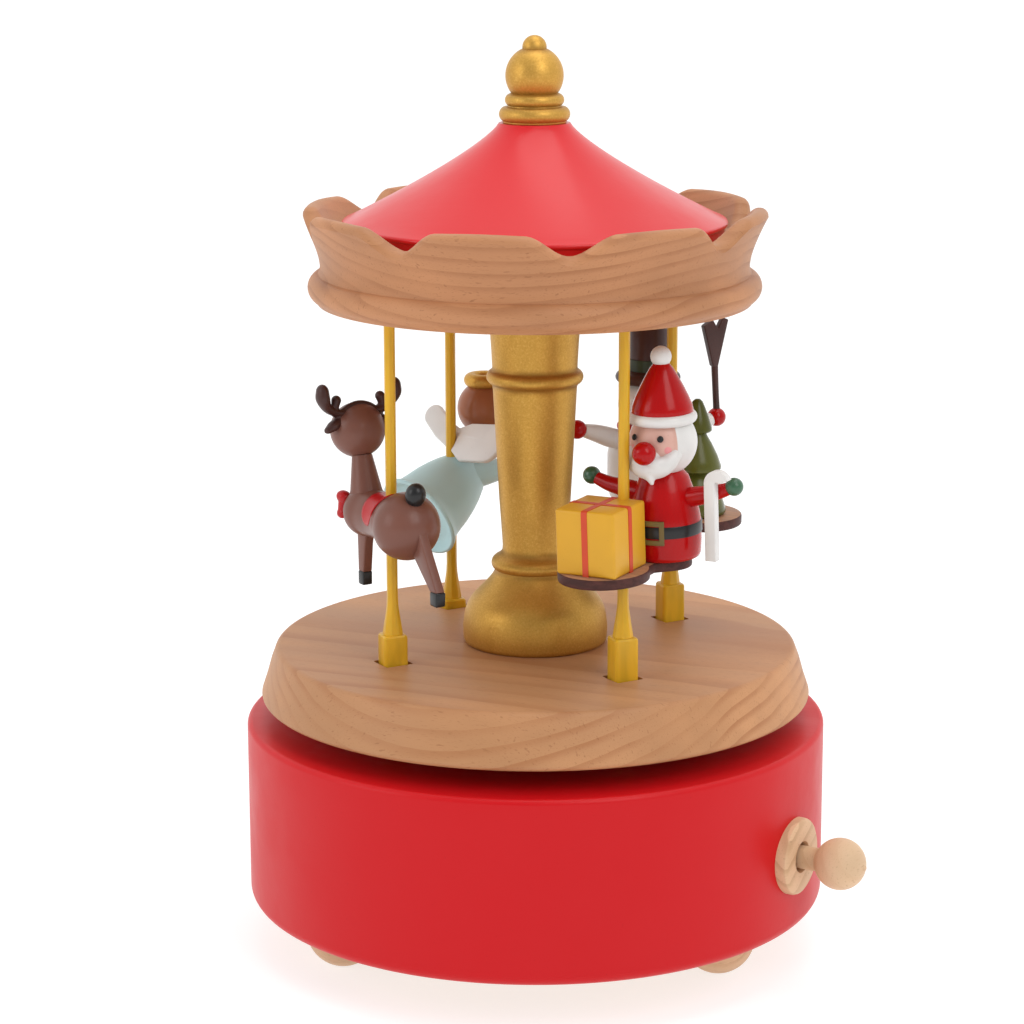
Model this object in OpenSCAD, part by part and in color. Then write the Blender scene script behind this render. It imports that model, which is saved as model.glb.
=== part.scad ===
// Carousel music box: a red drum with a spring movement inside, a turning platform with
// four figures that rise and fall on their poles, a column, a scalloped crown and a roof.
// Origin: on the carousel's axis, at floor level. The start and stop knob points along +X.

/* [Drum] */
// Radius of the drum
drum_r = 57.5; // [56:0.5:60]
// Height of the drum's lower edge above the floor
drum_z = 9.4; // [9:0.1:11]
// Height of the drum
drum_h = 36.4; // [35:0.1:37]
// Radius of the inside of the drum
cavity_r = 47; // [46:0.5:48]
// Radius of the ball that each foot is cut from
foot_r = 7.3; // [7.2:0.1:7.6]
// Distance of the feet from the axis
foot_ring_r = 42.5; // [40:0.5:43]

/* [Carousel] */
// Gap between the drum and the turning platform
platform_gap = 4.4; // [4:0.1:5]
// Thickness of the platform
platform_h = 10.4; // [9:0.1:10.8]
// Radius of the platform at its underside
platform_r = 54.5; // [52:0.5:56]
// Distance of the poles from the axis
pole_ring_r = 32.3; // [32:0.1:32.6]
// Half of the stroke that the cam gives each pole
stroke_half = 4; // [3:0.5:4]
// Radius of the crown's scalloped rim
rim_r = 46; // [45.4:0.1:46.4]
// Number of scallops in the rim
scallops = 8; // [6:1:9]

/* [Figures] */
// Side of the gift box
gift_side = 12.6; // [11:0.1:12.6]
// Radius of the reindeer's head
deer_head_r = 5.4; // [5:0.1:5.6]
// Radius of the angel's hem
hem_r = 9.4; // [9:0.1:9.6]
// Width of the top hat's brim
brim_w = 13.3; // [12:0.1:14]

/* [Movement] */
// Number of teeth on the spring barrel's crown gear
barrel_teeth = 40; // [40:1:40]
// Number of teeth on the music cylinder's pinion
pinion_teeth = 8; // [8:1:8]
// Number of teeth on the wheel that turns the governor
wheel_teeth = 24; // [24:4:24]
// Number of notes on the comb
notes = 18; // [12:1:18]

/* [Hidden] */
$fn = 64;
eps = 0.01;
clear_run = 0.05;

drum_top = drum_z + drum_h;
cover_h = 3;
cover_r = 51.2;
cover_top = drum_z + cover_h;
deck_z = 29.8;
trench_z = 31.8;
trench_in = 27;
trench_out = 38.5;
boss_top = drum_top - 1.8;
knob_z = 25.3;
shaft_r = 2;
foot_z = foot_r - 0.5;
foot_angle = -3;

platform_z = drum_top + platform_gap;
platform_top = platform_z + platform_h;
platform_top_r = platform_r - 2.7;
slot_w = 5.8;
block_yaw = -10.5;
rod_r = 1.05;
rod_hole_r = 1.2;
fit_hole_r = 1.15;
block_w = 4.9;
tip_r = 2.1;
low_shoulder = platform_top + 1.9;
pole_up = 70.5;
pole_down = 20.5;
// Where each pole stands at rest: angle on the platform and lift above the lowest place
santa = [-29, 1.58 * stroke_half];
deer = [-118.6, stroke_half];
snowman = [61.4, 1.42 * stroke_half];
angel = [152.4, 0];

column_top = 129;
crown_z = column_top;
crown_floor = crown_z + 5;
ledge_z = crown_z + 12.9;
crest_z = crown_z + 18.3;
notch_depth = 4;
notch_r = 9;
scallop_angle = -6;
roof_z = ledge_z;
roof_edge = roof_z + 2.7;
roof_top = crown_z + 34.3;
finial_top = roof_top + 16.5;

plate_h = 1.7;
bed_h = 2.5;
bed_z = deck_z - bed_h;
axle_z = 20.2;
cyl_r = 4.6;
cyl_a = 15;
cyl_b = 33;
pin_h = 0.5;
// Crown gear and pinion: their teeth have one pitch, so the ratio is that of their counts
crown_gear_r = 11.5;
pinion_pitch_r = crown_gear_r * pinion_teeth / barrel_teeth;
gear_reach = 0.45;
wheel_pitch_r = 5.2;
wheel_r = wheel_pitch_r + 0.3;
wheel_h = 1;
worm_pitch = 2 * PI * wheel_pitch_r / wheel_teeth;
worm_y = 6.65;
gov_x = cyl_b + wheel_h / 2;
gov_z = 13.9;
fan_r = 2.7;
barrel_r = 9.4;

// Points along an arc about [x, y] from angle a to angle b
function arc(x, y, r, a, b, n = 10) =
    [for (i = [0:n]) [x + r * cos(a + (b - a) * i / n), y + r * sin(a + (b - a) * i / n)]];

// Round bar between two points
module bar(p, q, r1, r2) {
    d = q - p;
    len = norm(d);
    translate(p)
        rotate([0, acos(d[2] / len), atan2(d[1], d[0])])
            cylinder(r1 = r1, r2 = r2, h = len);
}

// Copies of a shape around the axis
module around(count, from = 0) {
    for (i = [0:count - 1])
        rotate([0, 0, from + 360 * i / count]) children();
}

// Wood screw along Z: its head's top is at the origin and it points down
module screw(head_r, head_h, shank_r, shank_l) {
    difference() {
        union() {
            translate([0, 0, -head_h]) cylinder(r = head_r, h = head_h);
            translate([0, 0, -head_h - shank_l]) cylinder(r = shank_r, h = shank_l + eps);
        }
        for (a = [0, 90])
            rotate([0, 0, a])
                translate([-head_r * 0.6, -0.25, -head_h * 0.5])
                    cube([head_r * 1.2, 0.5, head_h]);
    }
}

// Puts a shape at a pole: X is the way the figure faces, Y points away from the axis
module at_pole(pole) {
    translate([pole_ring_r * cos(pole[0]), pole_ring_r * sin(pole[0]), 0])
        rotate([0, 0, pole[0] - 90])
            children();
}

// Hole for a pole through the pieces that it carries
module pole_hole() {
    cylinder(r = fit_hole_r, h = 200);
}

// ---------- Drum and its fixed parts ----------

module drum() {
    color("crimson")
    difference() {
        rotate_extrude($fn = 128)
            polygon(concat(
                [[0, drum_z]],
                arc(drum_r - 2.4, drum_z + 2.4, 2.4, -90, 0),
                arc(drum_r - 1, drum_top - 1, 1, 0, 90, 6),
                [[0, drum_top]]));
        translate([0, 0, drum_z - 1]) cylinder(r = cover_r + 0.2, h = cover_h + 1, $fn = 128);
        translate([0, 0, drum_z]) cylinder(r = cavity_r, h = deck_z - drum_z, $fn = 128);
        translate([0, 0, trench_z])
            difference() {
                cylinder(r = trench_out, h = 30, $fn = 128);
                translate([0, 0, -1]) cylinder(r = trench_in, h = 32, $fn = 96);
            }
        translate([0, 0, boss_top]) cylinder(r = trench_in + 1, h = 10, $fn = 96);
        cylinder(r = 3.5, h = 60);
        translate([40, 0, knob_z])
            rotate([0, 90, 0]) cylinder(r = knob_r + 0.07, h = 30);
        around(3, 60)
            translate([cover_screw_ring, 0, cover_top - 1]) cylinder(r = 1.1, h = 9);
        for (p = bed_screws)
            translate([p[0], p[1], deck_z - 1]) cylinder(r = 1.1, h = 8);
    }
}

cover_screw_ring = 49;
module bottom_cover() {
    color("burlywood")
    difference() {
        translate([0, 0, drum_z]) cylinder(r = cover_r, h = cover_h, $fn = 128);
        around(3, foot_angle)
            translate([foot_ring_r, 0, drum_z - 1]) cylinder(r = 2.55, h = 6);
        around(3, 60)
            translate([cover_screw_ring, 0, drum_z - 1]) {
                cylinder(r = 1.2, h = 6);
                cylinder(r = 1.95, h = 2.2);
            }
    }
}

module cover_screws() {
    color("silver")
    around(3, 60)
        translate([cover_screw_ring, 0, drum_z + 0.1])
            mirror([0, 0, 1]) screw(1.9, 1, 1, 9);
}

module feet() {
    color("burlywood")
    around(3, foot_angle)
        translate([foot_ring_r, 0, 0])
            rotate_extrude($fn = 64)
                polygon(concat(
                    [[0, 0]],
                    arc(0, foot_z, foot_r, -acos(sqrt(1 - pow(foot_z / foot_r, 2))),
                        asin((drum_z - foot_z) / foot_r), 14),
                    [[2.5, drum_z], [2.5, drum_z + 2.8], [0, drum_z + 2.8]]));
}

knob_r = 2.25;
knob_ring_h = 1.8;
module knob_ring() {
    color("tan")
    difference() {
        translate([drum_r - 2, 0, knob_z])
            rotate([0, 90, 0])
                difference() {
                    cylinder(r = 7.5, h = knob_ring_h + 2);
                    translate([0, 0, -1]) cylinder(r = 3, h = knob_ring_h + 4);
                }
        cylinder(r = drum_r, h = 60, $fn = 128);
    }
}

// Wave-topped track that the poles' ends follow: an odd number of waves lifts one pole as
// the opposite one goes down. It sits one stroke low, so that each pole can be moved alone.
cam_waves = 3;
cam_top = low_shoulder - pole_down - 0.4;
function cam_height(a) = cam_top - stroke_half * (1 - cos(cam_waves * (a - santa[0])));
module cam_ring() {
    n = 96;
    r_in = 28;
    r_out = 36.6;
    points = [for (i = [0:n - 1]) let(a = 360 * i / n, c = cos(a), s = sin(a)) each [
        [r_in * c, r_in * s, trench_z], [r_out * c, r_out * s, trench_z],
        [r_out * c, r_out * s, cam_height(a)], [r_in * c, r_in * s, cam_height(a)]]];
    faces = [for (i = [0:n - 1], k = [0:3])
        let(a = 4 * i, b = 4 * ((i + 1) % n), m = (k + 1) % 4) [a + k, b + k, b + m, a + m]];
    color("gainsboro") polyhedron(points, faces, convexity = 6);
}

module shaft_bush() {
    color("goldenrod")
    translate([0, 0, boss_top - 6])
        difference() {
            union() {
                cylinder(r = 3.45, h = 6);
                translate([0, 0, 6 + eps]) cylinder(r = 5, h = 0.6);
            }
            translate([0, 0, -1]) cylinder(r = shaft_r + clear_run, h = 12);
        }
}

// ---------- Spring movement under the deck ----------

bed_screws = [[-9, 13], [-9, -13], [10, 13], [10, -13]];
module bedplate() {
    color("silver")
    difference() {
        translate([-12, -21, bed_z]) cube([50, 37, bed_h]);
        translate([0, 0, bed_z - 1]) cylinder(r = shaft_r + clear_run, h = 10);
        for (p = bed_screws)
            translate([p[0], p[1], bed_z - 1]) cylinder(r = 1.2, h = 10);
        for (x = [comb_screw_a, comb_screw_b])
            translate([x, comb_y, bed_z - 1]) cylinder(r = 0.85, h = 10);
    }
}

module bedplate_screws() {
    color("gray")
    for (p = bed_screws)
        translate([p[0], p[1], bed_z])
            mirror([0, 0, 1])
                translate([0, 0, 1.2]) screw(2.2, 1.2, 1, 8.5);
}

bracket_h = 0.8;
bracket_gap = 0.8;
axle_r = 0.8;
module cylinder_brackets() {
    color("silver")
    for (x = [cyl_a - bracket_gap - bracket_h, cyl_b + wheel_h + bracket_gap])
        difference() {
            translate([x, -3, axle_z - 2]) cube([bracket_h, 6, bed_z - axle_z + 2]);
            translate([x - 1, 0, axle_z])
                rotate([0, 90, 0]) cylinder(r = axle_r + clear_run, h = 5);
        }
}

// Brass cylinder with its tune pins, its pinion and the wheel that turns the governor
module pinned_cylinder() {
    color("gold")
    translate([0, 0, axle_z])
        rotate([0, 90, 0]) {
            translate([0, 0, cyl_a]) cylinder(r = cyl_r, h = cyl_b - cyl_a);
            translate([0, 0, 10.2]) cylinder(r = axle_r, h = cyl_b + wheel_h + 2 - 10.2, $fn = 32);
            translate([0, 0, crown_gear_r - 0.6])
                gear(pinion_teeth, pinion_pitch_r - gear_reach, pinion_pitch_r + gear_reach, 1.2, 0.45);
            translate([0, 0, cyl_b - eps])
                gear(wheel_teeth, wheel_pitch_r - 0.5, wheel_r, wheel_h, 0.4);
            for (i = [0:notes - 1], k = [0:2])
                rotate([0, 0, 360 * ((i * 7 + k * 11) % 32) / 32 + 5.6])
                    translate([cyl_r - 0.3, 0, note_x(i)])
                        rotate([0, 90, 0]) cylinder(r = 0.16, h = 0.3 + pin_h, $fn = 16);
        }
}
function note_x(i) = cyl_a + (cyl_b - cyl_a) * (i + 0.5) / notes;

// Flat gear with straight teeth, along Z
module gear(teeth, root_r, tip_r, h, tooth_w) {
    cylinder(r = root_r, h = h);
    for (i = [0:teeth - 1])
        rotate([0, 0, 360 * (i + 0.5) / teeth])
            translate([0, -tooth_w / 2, 0])
                cube([tip_r, tooth_w, h]);
}

comb_y = -18.5;
comb_screw_a = 18;
comb_screw_b = 30;
module comb() {
    color("lightsteelblue")
    difference() {
        union() {
            translate([cyl_a, comb_y - 2.5, axle_z - 0.4]) cube([cyl_b - cyl_a, 6.5, 0.8]);
            for (i = [0:notes - 1])
                translate([note_x(i) - 0.36, comb_y + 3.9, axle_z - 0.2])
                    cube([0.72, -cyl_r - pin_h - 0.3 - comb_y - 3.9, 0.4]);
        }
        for (x = [comb_screw_a, comb_screw_b])
            translate([x, comb_y, axle_z - 1]) cylinder(r = 1.1, h = 3);
    }
}

module comb_block() {
    color("darkgray")
    difference() {
        translate([cyl_a, comb_y - 2.5, axle_z + 0.4]) cube([cyl_b - cyl_a, 5, bed_z - axle_z - 0.4]);
        for (x = [comb_screw_a, comb_screw_b])
            translate([x, comb_y, axle_z]) cylinder(r = 1.1, h = 20);
    }
}

module comb_screws() {
    color("gray")
    for (x = [comb_screw_a, comb_screw_b])
        translate([x, comb_y, axle_z - 0.4])
            mirror([0, 0, 1])
                translate([0, 0, 1.2]) screw(2, 1.2, 0.8, 9.5);
}

module governor_bracket() {
    color("silver")
    difference() {
        union() {
            translate([gov_x - 1.6, worm_y - 1.6, bed_z - 1.2]) cube([3.2, 7, 1.2]);
            translate([gov_x - 1.6, worm_y + 4.2, gov_z]) cube([3.2, 1.2, bed_z - gov_z]);
            translate([gov_x - 1.6, worm_y - 1.6, gov_z - 0.2]) cube([3.2, 7, 0.8]);
        }
        translate([gov_x, worm_y, 0]) cylinder(r = 0.5 + clear_run, h = 60, $fn = 32);
    }
}

// Upright worm, right-handed, with a two-bladed air brake
worm_h = 4.4;
module governor() {
    color("goldenrod")
    translate([gov_x, worm_y, 0]) {
        translate([0, 0, gov_z]) cylinder(r = 0.5, h = bed_z - gov_z - 0.2, $fn = 32);
        translate([0, 0, axle_z - worm_h / 2])
            rotate([0, 0, 270 - 180 * worm_h / worm_pitch])
                linear_extrude(height = worm_h, twist = -360 * worm_h / worm_pitch, slices = 40)
                    translate([0.6, 0]) circle(r = 1, $fn = 12);
        translate([-fan_r, -0.25, gov_z + 1]) cube([2 * fan_r, 0.5, 1.2]);
        translate([0, 0, gov_z + 0.9]) cylinder(r = 0.9, h = 1.4, $fn = 32);
    }
}

// ---------- Turning carousel ----------

module platform() {
    color("peru")
    difference() {
        rotate_extrude($fn = 128)
            polygon(concat(
                [[0, platform_z]],
                arc(platform_r - 0.8, platform_z + 0.8, 0.8, -90, 10, 6),
                arc(platform_top_r - 1.2, platform_top - 1.2, 1.2, 15, 90, 6),
                [[0, platform_top]]));
        translate([0, 0, platform_z - 1]) cylinder(r = 2.1, h = platform_h + 2);
        translate([0, 0, platform_z - 1]) cylinder(r = 4, h = 4.2);
        for (pole = [santa, deer, snowman, angel])
            translate([pole_ring_r * cos(pole[0]), pole_ring_r * sin(pole[0]), platform_z - 1])
                rotate([0, 0, pole[0]])
                    translate([-slot_w / 2, -slot_w / 2, 0]) cube([slot_w, slot_w, platform_h + 2]);
        around(3)
            translate([9, 0, platform_z - 1]) cylinder(r = 1, h = 7);
    }
}

module hub_plate() {
    color("dimgray")
    difference() {
        union() {
            translate([0, 0, platform_z - 3]) cylinder(r = 13, h = 3);
            translate([0, 0, boss_top + 1]) cylinder(r = 4, h = platform_z - 3 - boss_top - 1 + eps);
        }
        translate([0, 0, 0]) cylinder(r = shaft_r + 0.02, h = 80);
        around(3)
            translate([9, 0, 0]) cylinder(r = 1.15, h = 80);
    }
}

module hub_screws() {
    color("gray")
    around(3)
        translate([9, 0, platform_z - 3])
            mirror([0, 0, 1])
                translate([0, 0, 0.9]) screw(1.8, 0.9, 0.9, 7);
}

module main_shaft() {
    color("silver")
    translate([0, 0, cover_top + 0.9]) cylinder(r = shaft_r, h = platform_z - cover_top - 1.1);
}

barrel_z = cover_top + 1.2;
flange_z = axle_z + pinion_pitch_r + 0.9;
flange_r = 12.6;
module spring_barrel() {
    color("gold")
    difference() {
        union() {
            translate([0, 0, barrel_z]) cylinder(r = barrel_r, h = flange_z - barrel_z + eps);
            translate([0, 0, flange_z]) cylinder(r = flange_r, h = 1.4);
            for (i = [0:barrel_teeth - 1])
                rotate([0, 0, 360 * i / barrel_teeth])
                    translate([crown_gear_r - 0.8, -0.25, flange_z - 1.3])
                        cube([1.7, 0.5, 1.3 + eps]);
        }
        cylinder(r = shaft_r + 0.02, h = 60);
        translate([0, 0, barrel_z + 1]) cylinder(r = barrel_r - 0.8, h = flange_z - barrel_z - 1);
    }
}

// Flat spring wound from the shaft out to the barrel's wall
module mainspring() {
    turns = 5;
    inner = shaft_r + 0.15;
    outer = barrel_r - 1.3;
    t = 0.3;
    n = 120;
    function radius(i) = inner + (outer - inner) * i / n;
    color("lightsteelblue")
    translate([0, 0, barrel_z + 1.4])
        linear_extrude(height = flange_z - barrel_z - 2)
            polygon(concat(
                [for (i = [0:n]) radius(i) * [cos(360 * turns * i / n), sin(360 * turns * i / n)]],
                [for (i = [n:-1:0])
                    (radius(i) + t) * [cos(360 * turns * i / n), sin(360 * turns * i / n)]]));
}

module column() {
    z = platform_top;
    color("goldenrod")
    difference() {
        rotate_extrude($fn = 96)
            polygon(concat(
                [[0, z], [13.8, z], [14.2, z + 0.5], [14.3, z + 3.6]],
                [for (i = [1:8]) let(a = 90 * i / 8)
                    [14.3 - 6.6 * (1 - cos(a)), z + 3.6 + 9.6 * sin(a)]],
                arc(7.2, z + 16, 1.4, -70, 80, 8),
                [[6.7, z + 18.2], [6.45, z + 19.2], [7.05, z + 28.8], [7.6, z + 38.8],
                 [8.2, z + 50.2], [8.3, z + 51.6]],
                arc(8, z + 53.4, 1.5, -80, 80, 8),
                [[8.4, z + 55.4], [8.45, z + 56.6], [8.75, z + 62], [9, column_top],
                 [0, column_top]]));
        translate([0, 0, z - 1]) cylinder(r = 2.1, h = 80);
    }
}

module tie_rod() {
    color("silver")
    translate([0, 0, platform_z]) {
        translate([0, 0, 0.6]) cylinder(r = 3.6, h = 2.4);
        translate([0, 0, 2.9]) cylinder(r = 1.9, h = crown_floor + 4 - platform_z - 2.9);
    }
}

module tie_nut() {
    color("silver")
    translate([0, 0, crown_floor])
        difference() {
            union() {
                cylinder(r = 5, h = 0.8);
                translate([0, 0, 0.8]) cylinder(r = 3.8, h = 2.6, $fn = 6);
            }
            translate([0, 0, -1]) cylinder(r = 1.95, h = 10);
        }
}

module crown() {
    z = crown_z;
    color("burlywood")
    difference() {
        rotate_extrude($fn = 128)
            polygon(concat(
                [[0, z]],
                [[42, z]],
                arc(41.4, z + 2.9, 2.5, -70, 75, 8),
                [[41.5, z + 6], [41.5, z + 8], [42, z + 11], [43.6, z + 14.4], [rim_r - 0.5, z + 16.4]],
                arc(rim_r - 1.3, crest_z - 1.3, 1.3, 0, 120, 8),
                [[42.6, z + 16], [39.9, z + 14.4], [38.3, ledge_z], [35.4, ledge_z],
                 [35.4, crown_floor], [0, crown_floor]]));
        around(scallops, scallop_angle)
            translate([30, 0, crest_z + notch_r - notch_depth])
                rotate([0, 90, 0]) cylinder(r = notch_r, h = 20, $fn = 64);
        for (pole = [santa, deer, snowman, angel])
            translate([pole_ring_r * cos(pole[0]), pole_ring_r * sin(pole[0]), z - 1])
                cylinder(r = rod_hole_r, h = 8, $fn = 32);
        translate([0, 0, z - 1]) cylinder(r = 2.1, h = 8);
    }
}

// Radius of the roof's hollow curve at height z
roof_edge_r = 37.3;
roof_neck_r = 6.9;
function roof_r(t) = roof_neck_r + (roof_edge_r - 0.4 - roof_neck_r) * pow(t, 1.22);
module roof() {
    color("tomato")
    difference() {
        rotate_extrude($fn = 128)
            polygon(concat(
                [[0, roof_z], [36.4, roof_z], [37, roof_edge - 0.8], [roof_edge_r, roof_edge - 0.3]],
                [for (i = [0:16]) let(t = 1 - i / 16)
                    [roof_r(t), roof_edge + (roof_top - roof_edge) * (1 - t)]],
                [[0, roof_top]]));
        translate([0, 0, roof_top - 8]) cylinder(r = 3.02, h = 20);
    }
}

module finial() {
    z = roof_top;
    color("goldenrod")
    rotate_extrude($fn = 64)
        polygon(concat(
            [[0, z - 7.6], [3, z - 7.6], [3, z], [6, z]],
            arc(5.2, z + 1.6, 1.6, -70, 80, 8),
            arc(4.4, z + 4.4, 1.3, -70, 75, 8),
            arc(0, z + 9, 5.6, -35, 68, 12),
            arc(0, z + 15.2 - 1.1, 2.4, -25, 90, 8)));
}

// ---------- Poles ----------

module block_outline() {
    r = 0.6;
    inner = block_w / 2 - r;
    polygon([for (k = [0:3], c = arc(inner, inner, r, 0, 90, 3))
        [c[0] * cos(90 * k) - c[1] * sin(90 * k), c[0] * sin(90 * k) + c[1] * cos(90 * k)]]);
}

module pole(spec) {
    s = low_shoulder + spec[1];
    color("gold")
    translate([pole_ring_r * cos(spec[0]), pole_ring_r * sin(spec[0]), 0]) {
        rotate([0, 0, spec[0] + block_yaw]) {
            translate([0, 0, s - pole_down + tip_r])
                linear_extrude(height = pole_down - tip_r)
                    block_outline();
            translate([0, 0, s - pole_down + tip_r + eps]) sphere(r = tip_r, $fn = 32);
            rotate([0, 0, 22.5]) {
                translate([0, 0, s - eps]) cylinder(r1 = 2.15, r2 = 1.6, h = 3.5, $fn = 8);
                translate([0, 0, s + 3.4]) cylinder(r1 = 1.6, r2 = rod_r, h = 4.5, $fn = 8);
                translate([0, 0, s + 7.8]) cylinder(r = rod_r, h = pole_up - 7.8, $fn = 8);
            }
        }
    }
}
module santa_pole() { pole(santa); }
module deer_pole() { pole(deer); }
module snowman_pole() { pole(snowman); }
module angel_pole() { pole(angel); }

// ---------- Santa with a gift box ----------

santa_plate_z = 81.2;
santa_x = -9.7;
santa_yaw = 29;
santa_lean = 2.2;
gift_x = 5.4;
gift_y = 1.1;

// Leans a figure and its plate forward about the point where the pole passes through
module lean(z, angle) {
    translate([0, 0, z])
        rotate([0, angle, 0])
            translate([0, 0, -z])
                children();
}

// Footed plate: a wide lobe in front of the pole and a small one behind it
module plate(z, angle, wide_x, wide_y, wide_r, rear_x) {
    color("saddlebrown")
    difference() {
        lean(z, angle)
            translate([0, 0, z])
                linear_extrude(height = plate_h)
                    union() {
                        translate([wide_x, wide_y]) circle(r = wide_r, $fn = 64);
                        translate([rear_x, 0]) circle(r = 5, $fn = 48);
                        translate([rear_x, -3.6]) square([wide_x - rear_x, 7.2]);
                    }
        pole_hole();
    }
}

module at_santa() {
    at_pole(santa)
        lean(santa_plate_z, santa_lean)
            translate([santa_x, 0, 0])
                rotate([0, 0, santa_yaw])
                    children();
}
module at_gift() {
    lean(santa_plate_z, santa_lean)
        translate([gift_x, gift_y, santa_plate_z + plate_h])
            rotate([0, 0, santa_yaw])
                children();
}

module santa_plate() {
    at_pole(santa) plate(santa_plate_z, santa_lean, gift_x - 0.4, gift_y, 8.7, santa_x);
}

module gift_box() {
    color("gold")
    at_pole(santa)
        difference() {
            at_gift()
                translate([-gift_side / 2, -gift_side / 2, 0])
                    cube([gift_side, gift_side, gift_side]);
            pole_hole();
        }
}

module gift_ribbon() {
    t = 0.25;
    w = 1.5;
    color("orangered")
    at_pole(santa)
        difference() {
            at_gift()
                difference() {
                    for (a = [0, 90])
                        rotate([0, 0, a])
                            translate([-gift_side / 2 - t, -w / 2, 0])
                                cube([gift_side + 2 * t, w, gift_side + t]);
                    translate([-gift_side / 2, -gift_side / 2, -1])
                        cube([gift_side, gift_side, gift_side + 1]);
                }
            pole_hole();
        }
}

santa_base = santa_plate_z + plate_h;
module santa_body_form() {
    rotate_extrude()
        polygon([[0, santa_base], [6.2, santa_base], [6.8, santa_base + 1], [6.95, santa_base + 4],
            [6.9, santa_base + 7.3], [6.3, santa_base + 10.2], [5.5, santa_base + 13.4],
            [4.6, santa_base + 16], [3.4, santa_base + 17.2], [0, santa_base + 17.2]]);
}
module santa_body() {
    color("firebrick")
    at_santa()
        santa_body_form();
}

module santa_belt() {
    color("black")
    at_santa()
        translate([0, 0, santa_base + 4.8])
            difference() {
                union() {
                    cylinder(r = 7.2, h = 2.3);
                    translate([6.2, -2.3, -0.9]) cube([1.15, 4.6, 4.1]);
                }
                translate([0, 0, -2]) cylinder(r = 6.97, h = 8);
            }
}

santa_head_z = santa_base + 22.2;
module santa_head() {
    color("mistyrose")
    at_santa()
        difference() {
            union() {
                translate([0, 0, santa_head_z]) sphere(r = 6.4);
                translate([7.1, 0, santa_head_z - 0.8]) sphere(r = 2.15);
                bar([4.6, 0, santa_head_z - 3], [6.2, 0, santa_head_z - 8.2], 2.6, 0.6);
            }
            santa_body_form();
            translate([0, 0, santa_head_z + 4.6]) cylinder(r = 20, h = 20);
        }
}

module santa_hat() {
    z = santa_head_z + 4.6;
    color("red")
    at_santa() {
        rotate_extrude()
            polygon(concat(
                [[0, z], [5.8, z]],
                arc(5.7, z + 1.1, 1.1, -70, 75, 8),
                [[5.9, z + 2.6], [5, z + 5.2], [3.2, z + 8.4], [1.5, z + 11], [0, z + 11.2]]));
        translate([0, 0, z + 12.5]) sphere(r = 2);
    }
}

module santa_arms() {
    color("firebrick")
    at_santa()
        difference() {
            union() {
                bar([0, 4.6, santa_base + 11.6], [0, 13.8, santa_base + 14.2], 1.7, 1.15);
                bar([0, -4.6, santa_base + 11.6], [0, -14.6, santa_base + 13.8], 1.7, 1.15);
                translate([0, 14.8, santa_base + 14.6]) sphere(r = 1.7, $fn = 32);
                translate([0, -15.6, santa_base + 14]) sphere(r = 1.75, $fn = 32);
            }
            santa_body_form();
        }
}

// Cane sawn from a board, with its hook turned to the hand
module candy_cane() {
    cane_w = 2.2;
    cane_t = 1.7;
    stem_h = 14.9;
    hook_r = 1.5;
    color("white")
    at_santa()
        translate([2.55 - cane_t / 2, 11.2, santa_base + 0.7])
            rotate([90, 0, 90])
                linear_extrude(height = cane_t) {
                    translate([-cane_w / 2, 0]) square([cane_w, stem_h + eps]);
                    translate([hook_r, stem_h])
                        difference() {
                            circle(r = hook_r + cane_w / 2);
                            circle(r = hook_r - cane_w / 2);
                            translate([-5, -10]) square([10, 10]);
                        }
                }
}

// ---------- Reindeer ----------

deer_skull = [13.3, 0, 104.4];

deer_spine_z = 88.9;
// Torso turned along the heading, with a tapered neck let into its back
module deer_torso() {
    translate([0, 0, deer_spine_z])
        rotate([0, 90, 0])
            rotate_extrude()
                polygon(concat(
                    arc(0, -5.9, 6.55, -90, 45, 12),
                    [[4.4, 1.4], [4.3, 2.8], [4.35, 4.6]],
                    arc(0, 9.3, 4.95, -22, 90, 10)));
    bar([9.4, 0, 89.7], [11.75, 0, 100.2], 4.1, 2);
}

module deer_body() {
    color("sienna")
    at_pole(deer)
        difference() {
            deer_torso();
            translate(deer_skull) sphere(r = deer_head_r);
            pole_hole();
        }
}

module deer_head() {
    color("sienna")
    at_pole(deer) {
        translate(deer_skull) sphere(r = deer_head_r);
        translate(deer_skull + [deer_head_r + 0.6, 0, -0.8]) sphere(r = 1.2, $fn = 32);
    }
}

// Two lobed antlers on a bow across the head, with the ears
module deer_antlers() {
    color("saddlebrown")
    at_pole(deer)
        difference() {
            translate(deer_skull)
                union() {
                    for (s = [-1, 1]) {
                        bar([0, s * 3, 3.8], [0, s * 6.8, 6.4], 1, 0.9);
                        bar([0, s * 6.6, 6.2], [0, s * 7.9, 9.2], 0.9, 1.35);
                        translate([0, s * 7.9, 9.2]) sphere(r = 1.35, $fn = 24);
                        bar([0, s * 4.8, 5], [0, s * 4.7, 7.4], 0.9, 0.8);
                        bar([0, s * 4.6, 1.4], [0, s * 7.2, 2], 1, 0.7);
                    }
                    translate([-0.9, 0, 0])
                        rotate([0, 90, 0])
                            rotate([0, 0, 130])
                                rotate_extrude(angle = 100)
                                    translate([0, 0]) square([6.2, 1.8]);
                }
            translate(deer_skull) sphere(r = deer_head_r);
        }
}

module deer_legs() {
    color("sienna")
    at_pole(deer)
        difference() {
            union() {
                bar([10.2, 0, 86], [11, 0, 76.6], 2.1, 1.4);
                translate([9.7, -1.3, 73.9]) cube([2.6, 2.6, 2.9]);
                bar([-10.6, 0, 88], [-17, 0, 78.4], 1.9, 1.4);
                translate([-18.6, -1.3, 75.6]) cube([2.6, 2.6, 3]);
            }
            deer_torso();
        }
}

module deer_tail() {
    color("black")
    at_pole(deer)
        difference() {
            translate([-9.5, 0, 95.6]) sphere(r = 2.2, $fn = 32);
            deer_torso();
        }
}

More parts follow.
